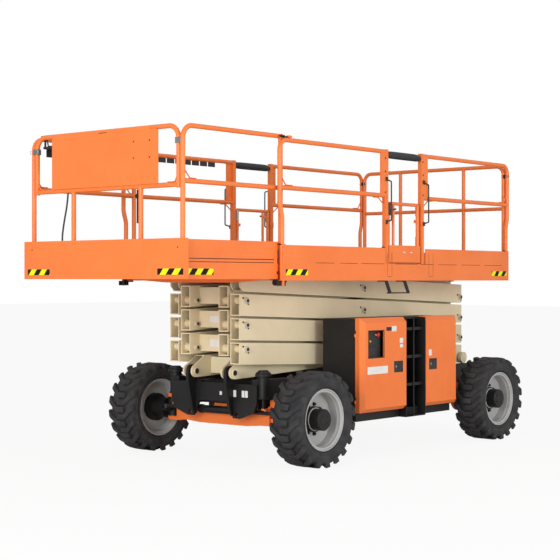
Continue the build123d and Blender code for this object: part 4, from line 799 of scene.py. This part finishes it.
# %% Latches, plates and hinges
POCKETS = {"front": (101, 251), "rear": (-495, -356)}
POCKET_Z = (795, 904)
STICKER = (1039.5, 1041)
WINDOW_X = (412, 674)
WINDOW_Z = (945, 1213)
TRIM = 8
for side, hand in HANDS:
    for which, (low, high) in POCKETS.items():
        low, high = low + 1, high - 1
        bottom, top = POCKET_Z
        latch = bmesh.new()
        add_block(latch, (low, high), across(side, 1033, 1035.5), POCKET_Z, bevel=1)
        for x, z in (((low, low + 6), POCKET_Z), ((high - 6, high), POCKET_Z), ((low, high), (top - 6, top)),
                     ((low, high), (bottom, bottom + 6))):
            add_block(latch, x, across(side, 1035, 1041.5), z, bevel=1.5)
        add_block(latch, (low + 17, low + 61), across(side, 1035, 1040), (812, 888), bevel=2)
        finish_piece(latch, f"door_latch_{hand}_{which}", f"door_{hand}_{which}", control_plastic)
        key = bmesh.new()
        add_bolt(key, high - 41, (side * 1034, side * 1038.5), 850, 22, 1.5, 24)
        finish_piece(key, f"latch_key_{hand}_{which}", f"door_{hand}_{which}", zinc_plate)
    face = across(side, *STICKER)
    block_piece(f"blank_stickers_{hand}_front", f"door_{hand}_front", white_vinyl,
                ((356, 684), face, (794, 866)), ((98, 153), face, (1078, 1126)), ((100, 151), face, (1034, 1066)),
                ((211, 290), face, (1194, 1246)), bevel=0.4)
    block_piece(f"blank_dark_sticker_{hand}", f"door_{hand}_front", window_black,
                ((292, 378), face, (1202, 1238)), bevel=0.4)
    block_piece(f"blank_stickers_{hand}_rear", f"door_{hand}_rear", white_vinyl,
                ((-402, -352), face, (934, 996)), bevel=0.4)
    hinges = bmesh.new()
    for z in (1150, 520):
        for x, out in ((745, 1), (-874, -1)):
            add_block(hinges, sorted((x, x + out * 4)), across(side, 902, 932), (z + 6, z + 58), bevel=1)
            for bolt_z in (z + 8, z + 56):
                add_bolt(hinges, (x + out * 3, x + out * 9), side * 916, bolt_z, 14, 1.2, 24)
    add_bolt(hinges, (745, 751), side * 897, 962, 15, 1.5, 24)
    add_bolt(hinges, -130, (side * 1010, side * 1018), 452, 22, 2, 24)
    finish_piece(hinges, f"door_hinge_leaves_{hand}", "chassis", dark_steel)
    if side > 0:
        face, (left, right), (bottom, top) = (1036, 1042), WINDOW_X, WINDOW_Z
        block_piece("window_trim", "door_left_front", window_black,
                    (WINDOW_X, face, (bottom, bottom + TRIM)), (WINDOW_X, face, (top - TRIM, top)),
                    ((left, left + TRIM), face, WINDOW_Z), ((right - TRIM, right), face, WINDOW_Z), bevel=1.5)
print("door latches:", 2 * len(POCKETS))

# %% Ground controls
PANEL_FACE = 992
panel = bmesh.new()
add_block(panel, (405, 670), (924, PANEL_FACE), (940, 1212), bevel=4)
for x, z, width in ((545, 1120, 26), (577, 1058, 36), (530, 1058, 24), (470, 1060, 44)):
    add_block(panel, (x - width / 2, x + width / 2), (PANEL_FACE - 1, PANEL_FACE + 7), (z - 13, z + 13), bevel=3)
finish_piece(panel, "ground_control_panel", "chassis", control_plastic)
buttons = (("stop_button", red_cap, 462, 1165, 46), ("key_switch_cap", orange_cap, 503, 1166, 24),
           ("power_button", yellow_cap, 594, 1107, 24))
for name, finish, x, z, width in buttons:
    button = bmesh.new()
    add_bolt(button, x, (PANEL_FACE - 1, PANEL_FACE + 10), z, width * 0.6, 1, 24)
    add_bar(button, (x, PANEL_FACE + 7, z), (x, PANEL_FACE + 20, z), width, bevel=4, tip=width * 0.9)
    finish_piece(button, name, "chassis", finish)
print("ground controls:", len(buttons), "buttons")

# %% [markdown]
# ## The platform's control station
# The control box hangs behind the shield. On its flat top are a joystick with a rubber boot, a red stop
# button and switches. Flat black bars over it guard the controls.

# %% Control station
STICK_Y = -640
STATION_TOP = 2892
station = bmesh.new()
add_block(station, (2845, 3068), (-652, -562), (2702, 2884), bevel=8)
add_block(station, (2842, 3068), (-838, -562), (2870, STATION_TOP), bevel=6)
for y in (-820, -665):
    add_block(station, (2880, 3040), (y - 4, y + 4), (2800, 2874), bevel=1.5)
add_bar(station, (2950, STICK_Y, STATION_TOP + 1), (2950, STICK_Y, 2925), 76, bevel=3, tip=34)
add_rod(station, [(2950, STICK_Y, 2915), (2948, STICK_Y, 2950), (2946, STICK_Y, 2972)], 16, bend=8)
for y in (-790, -760, -730):
    add_bolt(station, 2900, y, (STATION_TOP + 1, 2912), 12, 2, 24)
add_block(station, (2996, 3040), (-790, -700), (STATION_TOP + 1, 2901), bevel=2)
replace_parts(finish_piece(station, "control_station", "extension", control_plastic), "control_box")
grip = bmesh.new()
add_bar(grip, (2946, STICK_Y, 2940), (2944, STICK_Y, 2984), 30, bevel=6, tip=36)
finish_piece(grip, "joystick_grip", "extension", control_plastic)
stop = bmesh.new()
add_bolt(stop, 2980, -760, (2890, 2922), 30, 2, 24)
add_bolt(stop, 2980, -760, (2916, 2934), 42, 5, 24)
finish_piece(stop, "platform_stop_button", "extension", red_cap)
guard = bmesh.new()
add_block(guard, (3040, 3090), (-838, -611), (2972, 2988), bevel=3)
add_block(guard, (3040, 3090), (-700, -567), (2948, 2960), bevel=3)
for y in (-820, -640):
    add_block(guard, (3046, 3060), (y - 8, y + 8), (2888, 2975), bevel=2)
add_rod(guard, [(3062, -791, 2977), (3066, -764, 2892), (3066, -693, 2833), (3062, -660, 2830)], 12, bend=20)
finish_piece(guard, "control_guard_bars", "extension", black_paint)
gland = bmesh.new()
for (x, y, z), nut, sleeve in ((EXIT, (22, -10), (-8, -40)), (LANDING, (-22, 8), (6, 36))):
    add_bolt(gland, x, y, (z + nut[0], z + nut[1]), 34, 2)
    add_bar(gland, (x, y, z + sleeve[0]), (x, y, z + sleeve[1]), 26, bevel=2, tip=19)
finish_piece(gland, "cable_glands", "extension", control_plastic)
print("control station made")

# %% Skirt ends beside the front posts
for side, hand in HANDS:
    block_piece(f"roll_out_skirt_end_{hand}", "extension", orange_coat,
                ((1904, 1952), across(side, 948.4, 957.6), (1699, 2030)), bevel=1)
    # Dark blocks in the gap at the main skirt's front edge are painted shade of that gap.
    strip = across(side, 958, 964)
    block_piece(f"gap_painted_shade_{hand}", "extension", dark_steel, ((1908, 1918), strip, (1836, 1882)),
                ((1914, 1926), strip, (1742, 1768)), ((1908, 1914), strip, (1882, 1960)), bevel=1.5)
    bracket = bmesh.new()
    add_block(bracket, (1886, 1908), across(side, 990, 1016), (1638, 1690), bevel=2)
    add_bolt(bracket, 1897, (side * 986, side * 1017), 1664, 20, 1.5)
    finish_piece(bracket, f"roller_bracket_{hand}", "platform", orange_coat)
print("skirt ends closed beside the posts")

# %% Shield bolts, fascia holes and the bolt beside the mid post
fixings = bmesh.new()
for y in (380, 570):
    for z in (2720, 2860):
        add_bolt(fixings, (3117.5, 3122), y, z, 15, 1.2)
add_block(fixings, (3117.8, 3118.6), (-50, 50), (2955, 2961), bevel=0.3)
# Two dark discs on the fascia are painted shade inside its holes.
for y in (-912, 905):
    add_bolt(fixings, (3129.2, 3130.1), y, 1962, 13, sides=24)
finish_piece(fixings, "shield_bolts", "extension", dark_steel)
slide_bolt = bmesh.new()
add_block(slide_bolt, (3098, 3106), (402, 422), (2170, 2455), bevel=2)
add_bolt(slide_bolt, (3102, 3124), 412, 2400, 30, 4, 24)
finish_piece(slide_bolt, "mid_post_slide_bolt", "extension", black_paint)
print("shield bolts:", 4)

# %% [markdown]
# ## Small parts of the chassis
# The front plate carries blank plates, the lock cylinders have bolted caps, and the pins at the chassis end
# have nuts. The steering cylinder's rods are bright.

# %% Chassis fittings
PLATE_X = (1711.5, 1713.2)
LOCK_X, LOCK_Y = 1636, 555
CAP_BOLT_CIRCLE = 64
STEER_X, STEER_Z = 1630, 470
plates = [(PLATE_X, y, (610, 672)) for y in ((218, 250), (256, 290), (359, 392), (398, 432))]
block_piece("blank_chassis_plates", "chassis", white_vinyl, *plates, (PLATE_X, (84, 112), (620, 654)), bevel=0.3)
caps, ends, rods = bmesh.new(), bmesh.new(), bmesh.new()
for side, _ in HANDS:
    add_bolt(caps, LOCK_X, side * LOCK_Y, (806, 832), 152, 3, 40)
    add_bolt(caps, LOCK_X, side * LOCK_Y, (830, 864), 96, 5, 32)
    for x, y in ring_of(6, CAP_BOLT_CIRCLE, LOCK_X, side * LOCK_Y):
        add_bolt(caps, x, y, (830, 842), 20, 1.5)
    add_bolt(caps, LOCK_X, side * LOCK_Y, (600, 616), 124, 3, 40)
    for out_y, in_y in ((308, 322), (172, 158)):
        add_bolt(ends, PIN_X["front"], (side * out_y, side * in_y), BASE_PIN_Z, 36, 2)
        add_bolt(ends, PIN_X["front"], (side * (out_y + in_y) / 2, side * out_y), BASE_PIN_Z, 50, 1.5, 24)
    add_bolt(rods, STEER_X, (side * 236, side * 420), STEER_Z, 35.5, 0.6, 32)
    add_bolt(rods, STEER_X, (side * 236, side * 252), STEER_Z, 52, 3, 32)
finish_piece(caps, "lock_cylinder_caps", "chassis", black_paint)
finish_piece(ends, "base_pin_nuts", "inner_arms_1", dark_steel)
finish_piece(rods, "steering_rod_chrome", "steering_rod", hard_chrome)
print("chassis fittings made")

# %% [markdown]
# ## Deck plates
# Both decks are floored with steel plate whose rolled lozenges give grip. Hundreds of lozenges would be heavy
# as geometry, so the plate is a thin sheet and its lozenges are a bump, in two slanting families about 26 mm
# apart.

# %% Tread plate
TREAD_PITCH = 26
LOZENGE = 0.26
tread_plate = grained("rolled_tread_plate", "#6E6F70", "#626364", 0.45, 4, 0.0001, metallic=0.4)
plate_tree = tread_plate.node_tree
place = add(plate_tree, "ShaderNodeTexCoord").outputs["Object"]
families = []
for angle in (45, -45):
    turned_place = add(plate_tree, "ShaderNodeMapping", {"Vector": place, "Rotation": (0, 0, math.radians(angle)),
                                                         "Scale": (500 / TREAD_PITCH, 1000 / TREAD_PITCH, 0)})
    cells = add(plate_tree, "ShaderNodeTexVoronoi", {"Vector": turned_place.outputs[0], "Scale": 1.0,
                                                     "Randomness": 0.0})
    families.append(calc(plate_tree, "LESS_THAN", cells.outputs["Distance"], LOZENGE))
bump(plate_tree, calc(plate_tree, "MAXIMUM", *families), 0.8, 0.0015)
for name, body, x, y, z in (("main_floor_plate", "platform", (-1920, 1900), (-905, 905), 1850),
                            ("roll_out_floor_plate", "extension", (1170, 3060), (-902, 902), 1885)):
    block_piece(name, body, tread_plate, (x, y, (z - 0.5, z + 1.5)), bevel=0.4)
print("deck plates laid")

# %% [markdown]
# ## Floor and light
# A pale floor, part of it its own glow, catches the shadow, and the world gives light from all round. One large soft
# lamp stands high ahead of the machine, so the faces that look forward are the brightest, and a weaker one
# fills its left side. What the camera sees behind the machine is plain and pale.

# %% Floor
FLOOR_GLOW = 0.9
floor_mesh = bmesh.new()
bmesh.ops.create_grid(floor_mesh, x_segments=1, y_segments=1, size=70)
floor_data = bpy.data.meshes.new("floor")
floor_mesh.to_mesh(floor_data)
floor_mesh.free()
floor = put("floor", floor_data)
floor_paint = new_material("pale_floor", "#F4F4F4", 0.9)
floor_tree = floor_paint.node_tree
in_view = add(floor_tree, "ShaderNodeLightPath").outputs["Is Camera Ray"]
glow_share = calc(floor_tree, "MULTIPLY", in_view, FLOOR_GLOW)
glow = add(floor_tree, "ShaderNodeEmission", {"Color": srgb("#FFFFFF"), "Strength": 1.0})
under_light = floor_tree.nodes["Principled BSDF"].outputs[0]
both_floors = add(floor_tree, "ShaderNodeMixShader", {0: glow_share, 1: under_light, 2: glow.outputs[0]})
floor_tree.links.new(both_floors.outputs[0], floor_tree.nodes["Material Output"].inputs["Surface"])
floor_data.materials.append(floor_paint)

# %% World and lamps
WORLD_LIGHT = 0.42
world = bpy.data.worlds.new("studio")
bpy.context.scene.world = world
world.use_nodes = True
sky = world.node_tree
sky.nodes.clear()
rays = add(sky, "ShaderNodeLightPath")
seen = calc(sky, "MAXIMUM", rays.outputs["Is Camera Ray"], rays.outputs["Is Glossy Ray"])
seen = calc(sky, "MAXIMUM", seen, rays.outputs["Is Transmission Ray"])
around = add(sky, "ShaderNodeBackground", {"Color": srgb("#FFFFFF"), "Strength": WORLD_LIGHT})
behind = add(sky, "ShaderNodeBackground", {"Color": srgb("#FFFFFF"), "Strength": 1.0})
both = add(sky, "ShaderNodeMixShader", {0: seen, 1: around.outputs[0], 2: behind.outputs[0]})
add(sky, "ShaderNodeOutputWorld", {"Surface": both.outputs[0]})


LIT_PLACE = Vector((0, 0, 1.5))
LAMP_SIZE = 5


def soft_lamp(name, place, power):
    """A large square lamp that looks at the machine."""
    data = bpy.data.lights.new(name, "AREA")
    data.size = LAMP_SIZE
    data.energy = power
    lamp = put(name, data)
    lamp.location = place
    lamp.rotation_euler = (LIT_PLACE - Vector(place)).to_track_quat("-Z", "Y").to_euler()


soft_lamp("key_lamp", (12, 3.5, 3.2), 760)
soft_lamp("side_lamp", (1, 12, 3.0), 520)
